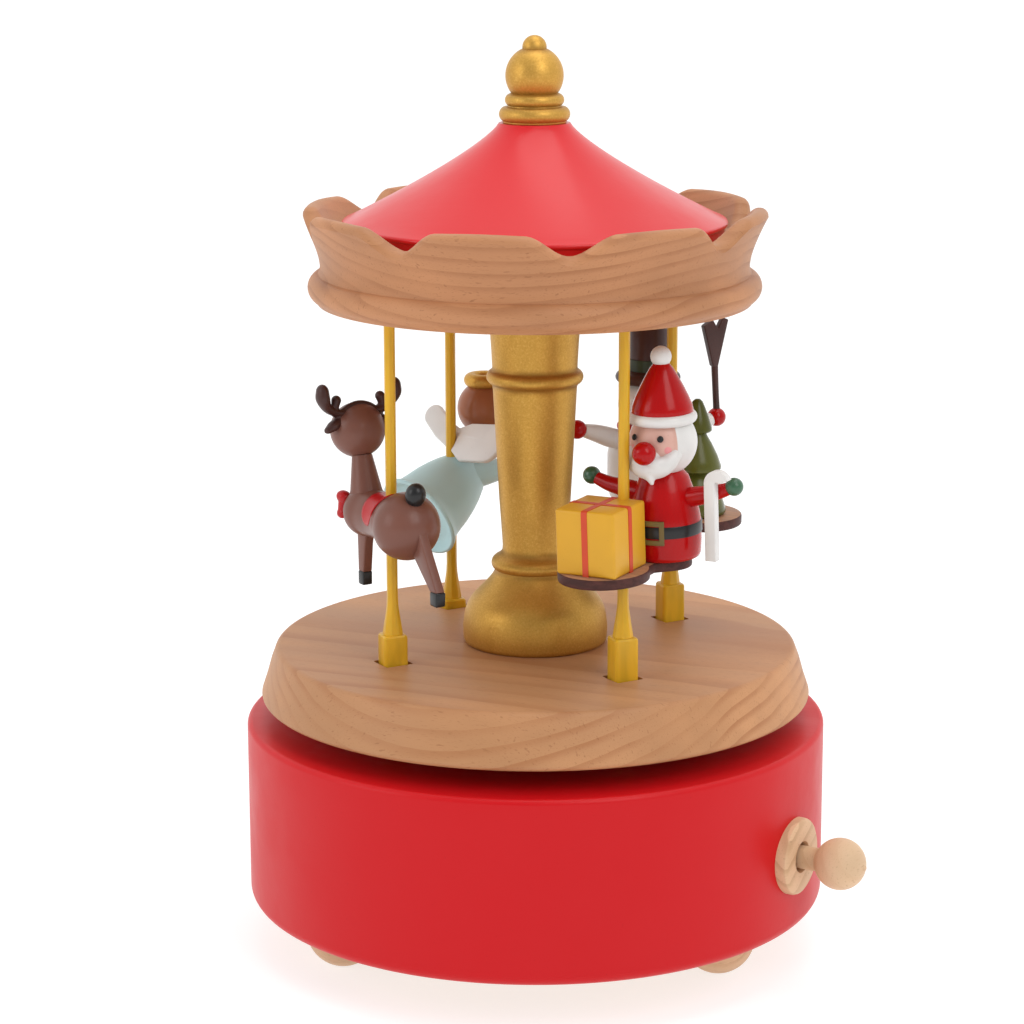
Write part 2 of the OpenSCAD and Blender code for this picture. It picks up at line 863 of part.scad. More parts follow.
// Band around the waist and the bow on the chest
module deer_harness() {
    color("red")
    at_pole(deer)
        difference() {
            union() {
                translate([0.9, 0, deer_spine_z])
                    rotate([0, 90, 0]) cylinder(r = 5.1, h = 4);
                translate([14.2, 0, 89.2]) sphere(r = 1.1, $fn = 24);
                for (s = [-1, 1]) {
                    bar([14.1, 0, 89.2], [14.1, s * 2.9, 91.1], 0.6, 1.4);
                    bar([14.1, 0, 89.2], [14.1, s * 3, 88], 0.6, 1.1);
                }
            }
            deer_torso();
            pole_hole();
        }
}

// ---------- Snowman with a tree ----------

snow_plate_z = 82.2;
snow_x = -9.2;
snow_lean = 1;
tree_x = 7.4;
tree_y = 1.2;
snow_base = snow_plate_z + plate_h;

module snowman_plate() {
    at_pole(snowman) plate(snow_plate_z, snow_lean, tree_x - 0.6, tree_y + 0.3, 9.2, snow_x);
}

module snow_tree() {
    z = snow_base;
    color("darkolivegreen")
    at_pole(snowman)
        difference() {
            lean(snow_plate_z, snow_lean)
                translate([tree_x, tree_y, 0])
                    rotate_extrude($fn = 48)
                        polygon([[0, z], [5.6, z], [6.1, z + 0.8], [5.2, z + 3.6], [3.6, z + 6.8],
                            [2.4, z + 8.4], [2.4, z + 8.8], [4.9, z + 9.1], [5.1, z + 9.8],
                            [3.4, z + 13.4], [1.9, z + 16.2], [1.9, z + 16.5], [3.4, z + 16.9],
                            [3.5, z + 17.5], [2.3, z + 20.4], [1.3, z + 22.6], [0.8, z + 23.2],
                            [0, z + 23.4]]);
            pole_hole();
        }
}

snow_head_z = snow_base + 19.6;
module snow_torso() {
    z = snow_base;
    rotate_extrude()
        polygon(concat(
            [[0, z], [7, z], [7.6, z + 0.6], [7.9, z + 3], [8, z + 8], [8, z + 10], [7.4, z + 12],
             [6.2, z + 14.2]],
            arc(0, snow_head_z, 6, -30, 50, 8),
            [[0, snow_head_z + 4.6]]));
}
module at_snowman() {
    at_pole(snowman)
        lean(snow_plate_z, snow_lean)
            translate([snow_x, 0, 0])
                children();
}

module snowman_body() {
    color("whitesmoke")
    difference() {
        at_snowman() snow_torso();
        at_pole(snowman) pole_hole();
    }
}

module snowman_hat() {
    z = snow_head_z + 4.6;
    color("saddlebrown")
    at_snowman()
        rotate_extrude()
            polygon(concat(
                [[0, z], [brim_w / 2 - 1, z]],
                arc(brim_w / 2 - 1, z + 1, 1, -90, 90, 6),
                [[4, z + 2.4], [4, z + 4.6], [4, z + 4.7], [3.9, z + 11.6], [0, z + 11.6]]));
}

hand_z = snow_base + 15.1;
hand_y = 17.2;
raised_z = snow_base + 16;
module snowman_arms() {
    color("whitesmoke")
    at_snowman()
        difference() {
            union() {
                bar([0, 6, hand_z - 2.8], [0, hand_y - 1.2, hand_z - 0.3], 1.9, 1.4);
                translate([0, hand_y, hand_z]) sphere(r = 1.95, $fn = 32);
                bar([0, -6, raised_z - 3.2], [0, -15.7, raised_z - 0.3], 1.9, 1.4);
                translate([0, -16.9, raised_z]) sphere(r = 1.95, $fn = 32);
            }
            snow_torso();
        }
}

module snow_broom() {
    z = hand_z;
    color("saddlebrown")
    at_snowman()
        difference() {
            union() {
                bar([0, hand_y, z + 0.5], [0, hand_y - 0.9, z + 12.6], 0.75, 0.75);
                translate([-0.75, hand_y - 1.1, z + 12])
                    rotate([90, 0, 90])
                        linear_extrude(height = 1.5)
                            polygon([
                                [-0.9, 0], [1, 0], [3, 8.4], [1.7, 8.9], [0.5, 6.6], [-0.9, 8.7], [-3, 7.4]
                            ]);
            }
            translate([0, hand_y, z]) sphere(r = 1.95, $fn = 32);
        }
}

// ---------- Angel ----------

angel_turn = 13.3;
hem_at = [-9.6, 0, 80.9];
gown_tilt = 62;
angel_skull = [9.9, 0, 101.1];
angel_head_r = 5.6;
spine_at = [1.9, 0, 95.5];

module at_angel() {
    at_pole(angel)
        rotate([0, 0, angel_turn])
            children();
}

// Bell with a flared hem
module angel_gown() {
    translate(hem_at)
        rotate([0, gown_tilt, 0])
            rotate_extrude()
                polygon([[0, 0], [hem_r - 0.5, 0], [hem_r - 0.3, 0.4], [8.6, 1.4], [8.1, 2.8], [7.7, 5],
                    [7.5, 7.5], [6.9, 10], [6.2, 12.5], [5.2, 15], [3.9, 17], [2.6, 18], [0, 18.3]]);
}

module angel_sleeve(s) {
    bar([4.8, s * 3.2, 88], [12.6, s * 4.2, 88.2], 2.1, 1.6);
}

module angel_dress() {
    color("lightblue")
    at_angel()
        difference() {
            union() {
                angel_gown();
                for (s = [-1, 1])
                    angel_sleeve(s);
            }
            pole_hole();
        }
}

// Head on its neck, and the hands
module angel_head() {
    color("sienna")
    at_angel()
        difference() {
            union() {
                translate(angel_skull) sphere(r = angel_head_r);
                bar([4.6, 0, 88], [9, 0, 97], 2.6, 2.4);
                for (s = [-1, 1])
                    translate([13.4, s * 4.3, 88.3]) sphere(r = 1.2, $fn = 24);
            }
            angel_gown();
            for (s = [-1, 1])
                angel_sleeve(s);
        }
}

// Petal of a wing: its reach along Y, and the radius of its round end
module angel_wing(s, sweep, reach, end_r) {
    rotate([s * 6, 0, s * sweep])
        linear_extrude(height = 1.3)
            hull() {
                translate([-0.3, s * 0.6]) circle(r = 2.4, $fn = 32);
                translate([-0.7, s * 4]) circle(r = 3.2, $fn = 32);
                translate([-0.5, s * reach]) circle(r = end_r, $fn = 32);
            }
}

// Pair of flat wings that leans back from the spine
module angel_wings() {
    color("white")
    at_angel()
        difference() {
            translate(spine_at)
                rotate([0, -57, 0])
                    union() {
                        angel_wing(1, -20, 8.4, 2.6);
                        angel_wing(-1, -6, 11.5, 3.6);
                    }
            angel_gown();
            pole_hole();
            bar([4.6, 0, 88], [9, 0, 97], 2.6, 2.4);
        }
}

module angel_halo() {
    color("goldenrod")
    at_angel()
        difference() {
            translate(angel_skull + [-0.1, 0, angel_head_r + 0.3])
                rotate_extrude() translate([2.8, 0]) circle(r = 1.5, $fn = 32);
            translate(angel_skull) sphere(r = angel_head_r);
        }
}

// ---------- Start and stop knob ----------

knob_in = 44.6;
ball_x = 67.2;
ball_r = 5;
module stop_knob() {
    color("tan")
    translate([0, 0, knob_z])
        rotate([0, 90, 0])
            rotate_extrude($fn = 64)
                polygon(concat(
                    [[0, knob_in], [knob_r, knob_in], [knob_r, ball_x - 4.4]],
                    arc(0, ball_x, ball_r, -61, 80, 16),
                    [[0.35, ball_x + ball_r + 0.3], [0, ball_x + ball_r + 0.4]]));
}

// Wire that the knob pushes against the air brake
wire_r = 0.5;
bend_r = 0.56;
module brake_wire() {
    wire_x = knob_in - 2;
    wire_z = gov_z + 1.6;
    path = [[knob_in, 0, knob_z], [wire_x, 0, knob_z], [wire_x, worm_y, wire_z],
        [gov_x + fan_r + 2.6, worm_y, wire_z]];
    color("gray")
    for (i = [0:2]) {
        bar(path[i], path[i + 1], wire_r, wire_r);
        if (i > 0) translate(path[i]) sphere(r = bend_r, $fn = 24);
    }
}

drum();
bottom_cover();
cover_screws();
feet();
knob_ring();
cam_ring();
shaft_bush();
bedplate();
bedplate_screws();
cylinder_brackets();
comb();
comb_block();
comb_screws();
governor_bracket();
platform();
hub_plate();
hub_screws();
main_shaft();
spring_barrel();
mainspring();
column();
tie_rod();
tie_nut();
crown();
roof();
finial();
santa_pole();
deer_pole();
snowman_pole();
angel_pole();
santa_plate();
gift_box();
gift_ribbon();
santa_body();
santa_belt();
santa_head();
santa_hat();
santa_arms();
candy_cane();
deer_body();
deer_head();
deer_antlers();
deer_legs();
deer_tail();
deer_harness();
snowman_plate();
snow_tree();
snowman_body();
snowman_hat();
snowman_arms();
snow_broom();
angel_dress();
angel_head();
angel_wings();
angel_halo();
pinned_cylinder();
governor();
stop_knob();
brake_wire();
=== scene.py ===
"""Carousel music box: its visible pieces, their paint and wood, and the studio around it."""
from math import acos, atan2, cos, degrees, pi, radians, sin, sqrt

import bmesh
import bpy
from mathutils import Matrix, Quaternion, Vector


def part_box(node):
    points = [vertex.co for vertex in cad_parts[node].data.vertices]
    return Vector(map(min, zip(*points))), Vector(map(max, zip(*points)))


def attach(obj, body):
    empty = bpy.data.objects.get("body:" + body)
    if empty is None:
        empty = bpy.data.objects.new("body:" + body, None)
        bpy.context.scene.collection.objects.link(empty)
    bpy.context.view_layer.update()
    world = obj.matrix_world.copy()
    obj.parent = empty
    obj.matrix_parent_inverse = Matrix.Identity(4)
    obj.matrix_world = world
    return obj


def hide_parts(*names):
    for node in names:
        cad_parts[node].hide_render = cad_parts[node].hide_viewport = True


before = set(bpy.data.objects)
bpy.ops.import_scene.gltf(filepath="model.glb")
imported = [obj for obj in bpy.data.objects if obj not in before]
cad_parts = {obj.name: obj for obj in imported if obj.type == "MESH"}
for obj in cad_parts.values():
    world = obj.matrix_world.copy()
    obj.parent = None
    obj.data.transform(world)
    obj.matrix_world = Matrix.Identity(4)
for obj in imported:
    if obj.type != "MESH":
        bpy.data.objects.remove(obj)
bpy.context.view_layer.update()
MM = 0.001
UP = Vector((0, 0, 1))
HERE = Matrix.Identity(4)
# Frame whose X and Y are a figure's Y and Z, for boards cut across the way that it faces
ACROSS = Matrix(((0, 0, 1, 0), (1, 0, 0, 0), (0, 1, 0, 0), (0, 0, 0, 1)))
# Frame whose X and Y are a figure's X and Z, for boards cut along the way that it faces
ALONG = Matrix(((1, 0, 0, 0), (0, 0, 1, 0), (0, 1, 0, 0), (0, 0, 0, 1)))
SIDES = ((-1, "right"), (1, "left"))


# ---------- Camera, floor and lights ----------

def make_camera():
    data = bpy.data.cameras.new("camera")
    data.lens = 106
    data.sensor_width = 36
    data.clip_start = 0.01
    camera = bpy.data.objects.new("camera", data)
    bpy.context.collection.objects.link(camera)
    camera.location = (0.2904, -0.5030, 0.2184)
    forward = Vector((-0.49425, 0.84079, -0.2212))
    roll = Quaternion((0, 0, 1), radians(-0.17))
    camera.rotation_euler = (forward.to_track_quat("-Z", "Y") @ roll).to_euler()
    bpy.context.scene.camera = camera


def make_floor():
    half = 12
    mesh = bpy.data.meshes.new("floor")
    mesh.from_pydata([(-half, -half, 0), (half, -half, 0), (half, half, 0), (-half, half, 0)], [],
                     [(0, 1, 2, 3)])
    floor = bpy.data.objects.new("floor", mesh)
    bpy.context.collection.objects.link(floor)
    mat, tree, shader = new_material("floor_white")
    fill(tree, shader, {
        "Base Color": (0.45, 0.45, 0.45, 1), "Roughness": 0.9, "Emission Color": (1, 1, 1, 1),
        "Emission Strength": 0.66})
    mesh.materials.append(mat)


def area_light(name, place, target, size, power, colour=(1, 1, 1)):
    data = bpy.data.lights.new(name, "AREA")
    data.shape = "RECTANGLE"
    data.size, data.size_y = size
    data.energy = power
    data.color = colour
    lamp = bpy.data.objects.new(name, data)
    bpy.context.collection.objects.link(lamp)
    lamp.location = place
    lamp.rotation_euler = (Vector(target) - Vector(place)).to_track_quat("-Z", "Y").to_euler()


def make_lights():
    middle = (0, 0, 0.09)
    area_light("key_right", (0.75, -0.35, 0.75), middle, (0.5, 0.7), 3.4)
    area_light("fill_left", (-0.55, -0.75, 0.45), middle, (0.5, 0.5), 1.8)
    area_light("top", (0.05, 0.1, 1.0), middle, (0.6, 0.6), 2.0)
    world = bpy.data.worlds.new("studio")
    world.use_nodes = True
    tree = world.node_tree
    way = node(tree, "ShaderNodeTexCoord").outputs["Generated"]
    behind = node(tree, "ShaderNodeVectorMath", {0: way, 1: (-0.49, 0.84, 0.25)},
                  operation="DOT_PRODUCT").outputs["Value"]
    glow = band(tree, behind, -0.7, 0.55, 0.42, 1.04)
    tree.nodes["Background"].inputs["Color"].default_value = (1, 1, 1, 1)
    tree.links.new(glow, tree.nodes["Background"].inputs["Strength"])
    bpy.context.scene.world = world
    bpy.context.scene.view_settings.view_transform = "Standard"


# ---------- Materials ----------

def new_material(name):
    mat = bpy.data.materials.new(name)
    mat.use_nodes = True
    tree = mat.node_tree
    return mat, tree, tree.nodes["Principled BSDF"]


def fill(tree, made, inputs):
    """Sets a node's inputs; each is a value, or another node's output to link from."""
    for key, value in inputs.items():
        if isinstance(value, bpy.types.NodeSocket):
            tree.links.new(value, made.inputs[key])
        else:
            made.inputs[key].default_value = value


def node(tree, kind, inputs=None, **props):
    made = tree.nodes.new(kind)
    for key, value in props.items():
        setattr(made, key, value)
    fill(tree, made, inputs or {})
    return made


def noise(tree, vector, scale, detail=3.0, rough=0.55, distortion=0.0):
    made = node(tree, "ShaderNodeTexNoise", {
        "Vector": vector, "Scale": scale, "Detail": detail, "Roughness": rough, "Distortion": distortion})
    return made.outputs["Fac"]


def stretched(tree, vector, scale, turn=(0, 0, 0)):
    made = node(tree, "ShaderNodeMapping", {"Vector": vector, "Scale": scale, "Rotation": turn})
    return made.outputs["Vector"]


def band(tree, value, low, high, out_low=0.0, out_high=1.0):
    """Value taken from low..high to out_low..out_high, smoothly, and held there outside."""
    made = node(tree, "ShaderNodeMapRange", {
        "Value": value, "From Min": low, "From Max": high, "To Min": out_low, "To Max": out_high},
        interpolation_type="SMOOTHSTEP")
    return made.outputs["Result"]


def sums(tree, operation, a, b=0.0):
    return node(tree, "ShaderNodeMath", {0: a, 1: b}, operation=operation).outputs[0]


def blend_colours(tree, factor, a, b):
    made = node(tree, "ShaderNodeMix", {0: factor, 6: a, 7: b}, data_type="RGBA")
    return made.outputs[2]


def shade(colour, k):
    return (min(colour[0] * k, 1), min(colour[1] * k, 1), min(colour[2] * k, 1), 1)


def bump(tree, shader, height, strength, distance):
    made = node(tree, "ShaderNodeBump", {"Height": height, "Strength": strength, "Distance": distance})
    tree.links.new(made.outputs["Normal"], shader.inputs["Normal"])


def object_point(tree):
    return node(tree, "ShaderNodeTexCoord").outputs["Object"]


def paint(name, colour, rough=0.36, coat=0.25, mottle=0.07, relief=0.25, shine=0.5):
    """Brushed lacquer on wood: mottled colour, wood grain showing through as faint relief, fine dust."""
    mat, tree, shader = new_material(name)
    point = object_point(tree)
    broad = noise(tree, point, 70, 3)
    fine = noise(tree, point, 1300, 2)
    body = blend_colours(tree, band(tree, broad, 0.3, 0.7), shade(colour, 1 - mottle),
                         shade(colour, 1 + mottle))
    specks = band(tree, noise(tree, point, 2400, 1), 0.73, 0.8, 0, 0.35)
    body = blend_colours(tree, specks, body, shade(colour, 0.6))
    fill(tree, shader, {
        "Base Color": body, "Roughness": band(tree, broad, 0.25, 0.75, rough - 0.05, rough + 0.07),
        "Coat Weight": coat, "Coat Roughness": 0.18, "Specular IOR Level": shine})
    grain = noise(tree, stretched(tree, point, (60, 700, 700), (0, 0, 0.5)), 1, 3)
    height = sums(tree, "ADD", sums(tree, "MULTIPLY", grain, 0.6), sums(tree, "MULTIPLY", fine, 0.4))
    bump(tree, shader, height, relief, 0.00012)
    return mat


def gold_paint(name, grooves=()):
    """Metallic gold paint: fine flake, cloudy tone, and painted shade in the grooves."""
    mat, tree, shader = new_material(name)
    point = object_point(tree)
    light, mid, dark = (0.82, 0.52, 0.15), (0.60, 0.335, 0.062), (0.33, 0.15, 0.028)
    cloud = noise(tree, stretched(tree, point, (1, 1, 0.45)), 110, 4, 0.6)
    flake = noise(tree, point, 2600, 2, 0.7)
    body = blend_colours(tree, band(tree, cloud, 0.3, 0.72), shade(mid, 0.94), shade(mid, 1.07))
    body = blend_colours(tree, band(tree, flake, 0.5, 0.72, 0, 0.3), body, shade(light, 1))
    body = blend_colours(tree, band(tree, flake, 0.5, 0.28, 0, 0.2), body, shade(dark, 1))
    height = node(tree, "ShaderNodeSeparateXYZ", {"Vector": point}).outputs["Z"]
    # Painted shade: a darker ring at the height of each groove
    for z in grooves:
        gap = sums(tree, "ABSOLUTE", sums(tree, "SUBTRACT", height, z * MM))
        body = blend_colours(tree, band(tree, gap, 0.0009, 0.0001, 0, 0.45), body, shade(dark, 0.8))
    fill(tree, shader, {
        "Base Color": body, "Metallic": 0.72, "Roughness": band(tree, flake, 0.3, 0.7, 0.5, 0.42)})
    bump(tree, shader, sums(tree, "ADD", flake, cloud), 0.1, 0.0001)
    return mat


def beech(name, along=12, pith=(0.0, -0.055), light=(0.53, 0.265, 0.125), dark=(0.36, 0.145, 0.058)):
    """Solid steamed beech cut from a plank: growth rings round a far pith line, ray flecks and pores.
    along is the grain's direction in degrees, and pith is the pith line's offset across it and up."""
    mat, tree, shader = new_material(name)
    turned_point = stretched(tree, object_point(tree), (1, 1, 1), (0, 0, -radians(along)))
    sway = node(tree, "ShaderNodeTexNoise", {
        "Vector": stretched(tree, turned_point, (9, 34, 34)), "Scale": 1.0, "Detail": 2.0}).outputs["Color"]
    sway = node(tree, "ShaderNodeVectorMath", {0: sway, 1: (0.5, 0.5, 0.5)}, operation="SUBTRACT").outputs[0]
    sway = node(tree, "ShaderNodeVectorMath", {0: sway, "Scale": 0.006}, operation="SCALE").outputs[0]
    grown = node(tree, "ShaderNodeVectorMath", {0: turned_point, 1: sway}, operation="ADD").outputs[0]
    across = node(tree, "ShaderNodeVectorMath", {0: grown, 1: (0, 1, 1), 2: (0, -pith[0], -pith[1])},
                  operation="MULTIPLY_ADD").outputs[0]
    radius = node(tree, "ShaderNodeVectorMath", {0: across}, operation="LENGTH").outputs["Value"]
    year = sums(tree, "FRACT", sums(tree, "MULTIPLY", radius, 1 / 0.0026))
    late = sums(tree, "MULTIPLY", band(tree, year, 0.45, 0.93), band(tree, year, 1.0, 0.95))
    faint = band(tree, noise(tree, stretched(tree, turned_point, (15, 60, 60)), 1), 0.35, 0.7, 0.25, 1)
    cloud = noise(tree, stretched(tree, turned_point, (12, 45, 45)), 1, 3)
    body = blend_colours(tree, band(tree, cloud, 0.3, 0.7), shade(light, 0.84), shade(light, 1.1))
    body = blend_colours(tree, sums(tree, "MULTIPLY", late, sums(tree, "MULTIPLY", faint, 0.75)), body,
                         shade(dark, 1.05))
    fleck = noise(tree, stretched(tree, turned_point, (380, 3600, 1500)), 1, 1)
    body = blend_colours(tree, band(tree, fleck, 0.64, 0.76, 0, 0.45), body, shade(dark, 0.78))
    pore = noise(tree, stretched(tree, turned_point, (700, 5200, 5200)), 1, 2)
    body = blend_colours(tree, band(tree, pore, 0.42, 0.3, 0, 0.3), body, shade(dark, 0.9))
    fill(tree, shader, {
        "Base Color": body, "Roughness": band(tree, cloud, 0.3, 0.7, 0.42, 0.52),
        "Specular IOR Level": 0.22})
    height = sums(tree, "ADD", sums(tree, "MULTIPLY", pore, 0.7), sums(tree, "MULTIPLY", year, 0.15))
    bump(tree, shader, height, 0.22, 0.0001)
    return mat


def moulded(name, colour, rough=0.33):
    """Moulded plastic: slight flow marks and handling scuffs."""
    mat, tree, shader = new_material(name)
    point = object_point(tree)
    flow = noise(tree, stretched(tree, point, (1, 1, 0.2)), 260, 3, 0.6, 0.4)
    body = blend_colours(tree, band(tree, flow, 0.3, 0.72), shade(colour, 0.84), shade(colour, 1.08))
    fill(tree, shader, {
        "Base Color": body, "Roughness": band(tree, flow, 0.3, 0.7, rough - 0.05, rough + 0.09),
        "Specular IOR Level": 0.3, "Subsurface Weight": 0.08, "Subsurface Scale": 0.0008})
    bump(tree, shader, noise(tree, point, 900, 3), 0.18, 0.00012)
    return mat


def metal(name, colour, rough=0.3, scratch=(40, 900, 900)):
    """Bare metal with fine machining lines and dull patches."""
    mat, tree, shader = new_material(name)
    point = object_point(tree)
    lines = noise(tree, stretched(tree, point, scratch), 2, 4, 0.7)
    patch = noise(tree, point, 220, 3)
    body = blend_colours(tree, band(tree, patch, 0.3, 0.7), shade(colour, 0.8), shade(colour, 1.08))
    fill(tree, shader, {
        "Base Color": body, "Metallic": 1,
        "Roughness": band(tree, lines, 0.3, 0.7, rough - 0.08, rough + 0.14)})
    bump(tree, shader, lines, 0.2, 0.00005)
    return mat


def plate_wood(name, edge=(0.075, 0.026, 0.022), top=(0.42, 0.215, 0.12)):
    """Thin plywood: stained edge and underside, lighter laser-cut top with grain."""
    mat, tree, shader = new_material(name)
    point = object_point(tree)
    facing = node(tree, "ShaderNodeNewGeometry").outputs["Normal"]
    upward = node(tree, "ShaderNodeSeparateXYZ", {"Vector": facing}).outputs["Z"]
    grain = noise(tree, stretched(tree, point, (90, 900, 900), (0, 0, 0.4)), 1, 4, 0.65)
    wood = blend_colours(tree, band(tree, grain, 0.35, 0.7), shade(top, 0.78), shade(top, 1.12))
    stain = blend_colours(tree, band(tree, grain, 0.3, 0.7), shade(edge, 0.65), shade(edge, 1.25))
    body = blend_colours(tree, band(tree, upward, 0.8, 0.95), stain, wood)
    fill(tree, shader, {
        "Base Color": body, "Roughness": band(tree, grain, 0.3, 0.7, 0.42, 0.58),
        "Specular IOR Level": 0.2})
    bump(tree, shader, grain, 0.35, 0.00012)
    return mat


# ---------- Mesh building, in millimetres ----------

def arc(cx, cy, r, start, end, n=8):
    """Points along an arc, angles in degrees."""
    steps = [radians(start + (end - start) * i / n) for i in range(n + 1)]
    return [(cx + r * cos(a), cy + r * sin(a)) for a in steps]


def piece(name, points, faces, mats, place=HERE, face_mats=None, sharp=38):
    """A mesh object in metres from points in millimetres in the frame of place."""
    mesh = bpy.data.meshes.new(name)
    mesh.from_pydata([(place @ Vector(p)) * MM for p in points], [], faces)
    for finish in mats:
        mesh.materials.append(PAINTS[finish])
    if face_mats:
        mesh.polygons.foreach_set("material_index", face_mats)
    return finish_piece(name, mesh, sharp)


def finish_piece(name, mesh, sharp=38):
    """Closes up the mesh, turns its faces outward and marks its sharp edges."""
    work = bmesh.new()
    work.from_mesh(mesh)
    bmesh.ops.remove_doubles(work, verts=work.verts, dist=1e-7)
    bmesh.ops.dissolve_degenerate(work, edges=work.edges, dist=1e-8)
    bmesh.ops.recalc_face_normals(work, faces=work.faces)
    mark_sharp(work, sharp)
    work.to_mesh(mesh)
    work.free()
    made = bpy.data.objects.new(name, mesh)
    bpy.context.collection.objects.link(made)
    return made


def mark_sharp(work, sharp):
    """Smooth faces, with a crease at every edge that turns more than the angle."""
    for edge in work.edges:
        edge.smooth = len(edge.link_faces) != 2 or edge.calc_face_angle(0) < radians(sharp)
    for face in work.faces:
        face.smooth = True


def rings_mesh(rings, closed_ends=True, loop=False):
    """Faces that join rings of equal point counts; a ring of one point is a tip."""
    points, starts, faces = [], [], []
    for ring in rings:
        starts.append(len(points))
        points += ring
    pairs = list(zip(range(len(rings)), range(1, len(rings))))
    if loop:
        pairs.append((len(rings) - 1, 0))
    for i, j in pairs:
        a, b, na, nb = starts[i], starts[j], len(rings[i]), len(rings[j])
        for k in range(max(na, nb)):
            k2 = (k + 1) % max(na, nb)
            if na == 1:
                faces.append((a, b + k, b + k2))
            elif nb == 1:
                faces.append((a + k, b, a + k2))
            else:
                faces.append((a + k, b + k, b + k2, a + k2))
    if closed_ends and not loop:
        for i in (0, -1):
            if len(rings[i]) > 1:
                faces.append(tuple(range(starts[i], starts[i] + len(rings[i]))))
    return points, faces


def turned(name, profile, mats, place=HERE, segments=96, loop=False, bands=None, sharp=38):
    """A piece turned about Z from (radius, height) points; bands gives a material number for each stretch."""
    rings = []
    for r, z in profile:
        if r < 1e-6:
            rings.append([(0, 0, z)])
        else:
            turn = 2 * pi / segments
            rings.append([(r * cos(turn * k), r * sin(turn * k), z) for k in range(segments)])
    points, faces = rings_mesh(rings, True, loop)
    face_mats = None
    if bands:
        face_mats = [bands[min(i // segments, len(bands) - 1)] for i in range(len(faces))]
    return piece(name, points, faces, mats, place, face_mats, sharp)


def ball_profile(r, z, flat_low=0.0, flat_high=0.0, n=20):
    """Outline of a ball, cut flat at a radius of flat_low below and flat_high above."""
    low = -degrees(acos(min(flat_low / r, 1)))
    high = degrees(acos(min(flat_high / r, 1)))
    line = arc(0, z, r, low, high, n)
    if flat_low:
        line.insert(0, (0, z + r * sin(radians(low))))
    if flat_high:
        line.append((0, z + r * sin(radians(high))))
    return line


def ball(name, centre, r, mats, place=HERE, squash=(1, 1, 1), axis=UP, segments=40):
    """A turned bead: a ball with a tiny flat at each end of its axis."""
    at = place @ Matrix.Translation(centre) @ towards(axis) @ Matrix.Diagonal((*squash, 1))
    return turned(name, ball_profile(r, 0, 0.12 * r, 0.12 * r, 18), mats, at, segments)


def towards(axis):
    """Frame whose Z lies along the axis."""
    return Vector(axis).to_track_quat("Z", "Y").to_matrix().to_4x4()


def moved(x, y, z):
    return Matrix.Translation((x, y, z))


def spin(turn, axis="Z"):
    return Matrix.Rotation(radians(turn), 4, axis)


def smooth_path(knots, per=6):
    """Catmull-Rom curve through (x, y, z, radius) knots."""
    knots = [Vector(k) for k in knots]
    line = []
    for i in range(len(knots) - 1):
        p0, p1 = knots[max(i - 1, 0)], knots[i]
        p2, p3 = knots[i + 1], knots[min(i + 2, len(knots) - 1)]
        for s in range(per):
            t = s / per
            line.append(0.5 * (2 * p1 + (p2 - p0) * t + (2 * p0 - 5 * p1 + 4 * p2 - p3) * t * t
                               + (3 * p1 - p0 - 3 * p2 + p3) * t * t * t))
    line.append(knots[-1])
    return line


def limb_mesh(knots, per=6, sides=20, flat=1.0, ends=(True, True), hand=1):
    """Points and faces of a round bar with a changing radius along a smooth path, its ends rounded.
    hand is -1 for the same bar on the other side of the figure."""
    line = smooth_path([(x, hand * y, z, r) for x, y, z, r in knots], per)
    rings = []
    side = None
    for i, p in enumerate(line):
        ahead = Vector(line[min(i + 1, len(line) - 1)][:3]) - Vector(line[max(i - 1, 0)][:3])
        ahead.normalize()
        if side is None:
            side = ahead.cross(UP if abs(ahead.z) < 0.9 else Vector((1, 0, 0))).normalized()
        side = (side - ahead * side.dot(ahead)).normalized()
        other = ahead.cross(side)
        caps = [(0, 1)]
        if i == 0 and ends[0]:
            caps = [(-cos(a), sin(a)) for a in (0.25, 0.6, 1.0, 1.3)] + caps
        if i == len(line) - 1 and ends[1]:
            caps = caps + [(cos(a), sin(a)) for a in (1.3, 1.0, 0.6, 0.25)]
        for push, wide in caps:
            centre = Vector(p[:3]) + ahead * p[3] * push
            rings.append([tuple(centre + p[3] * wide * (side * cos(t) + other * flat * sin(t)))
                          for t in (2 * pi * k / sides for k in range(sides))])
    return rings_mesh(rings)


def limb(name, knots, mats, place=HERE, **shape):
    points, faces = limb_mesh(knots, **shape)
    return piece(name, points, faces, mats, place, sharp=60)


def carved(name, meshes, mats, place=HERE, voxel=0.28, smooth=4):
    """Several forms grown into one by a voxel remesh, then smoothed, as on a carved piece."""
    points, faces = [], []
    for more_points, more_faces in meshes:
        faces += [tuple(i + len(points) for i in f) for f in more_faces]
        points += more_points
    made = piece(name, points, faces, mats, place, sharp=180)
    remesh = made.modifiers.new("remesh", "REMESH")
    remesh.mode = "VOXEL"
    remesh.voxel_size = voxel * MM
    remesh.use_smooth_shade = True
    soft = made.modifiers.new("smooth", "SMOOTH")
    soft.factor = 0.6
    soft.iterations = smooth
    apply_modifiers(made)
    return made


def apply_modifiers(made):
    graph = bpy.context.evaluated_depsgraph_get()
    graph.update()
    mesh = bpy.data.meshes.new_from_object(made.evaluated_get(graph))
    mats = list(made.data.materials)
    old = made.data
    made.modifiers.clear()
    made.data = mesh
    mesh.materials.clear()
    for mat in mats:
        mesh.materials.append(mat)
    for face in mesh.polygons:
        face.use_smooth = True
    bpy.data.meshes.remove(old)


def slab(name, outline, low, high, mats, place=HERE, bevel=0.25, sharp=38):
    """An outline in X and Y between two heights, with rounded edges."""
    count = len(outline)
    points = [(x, y, z) for z in (low, high) for x, y in outline]
    faces = [tuple(range(count))[::-1], tuple(range(count, 2 * count))]
    faces += [(i, (i + 1) % count, count + (i + 1) % count, count + i) for i in range(count)]
    made = piece(name, points, faces, mats, place, sharp=sharp)
    return rounded(made, bevel, sharp)


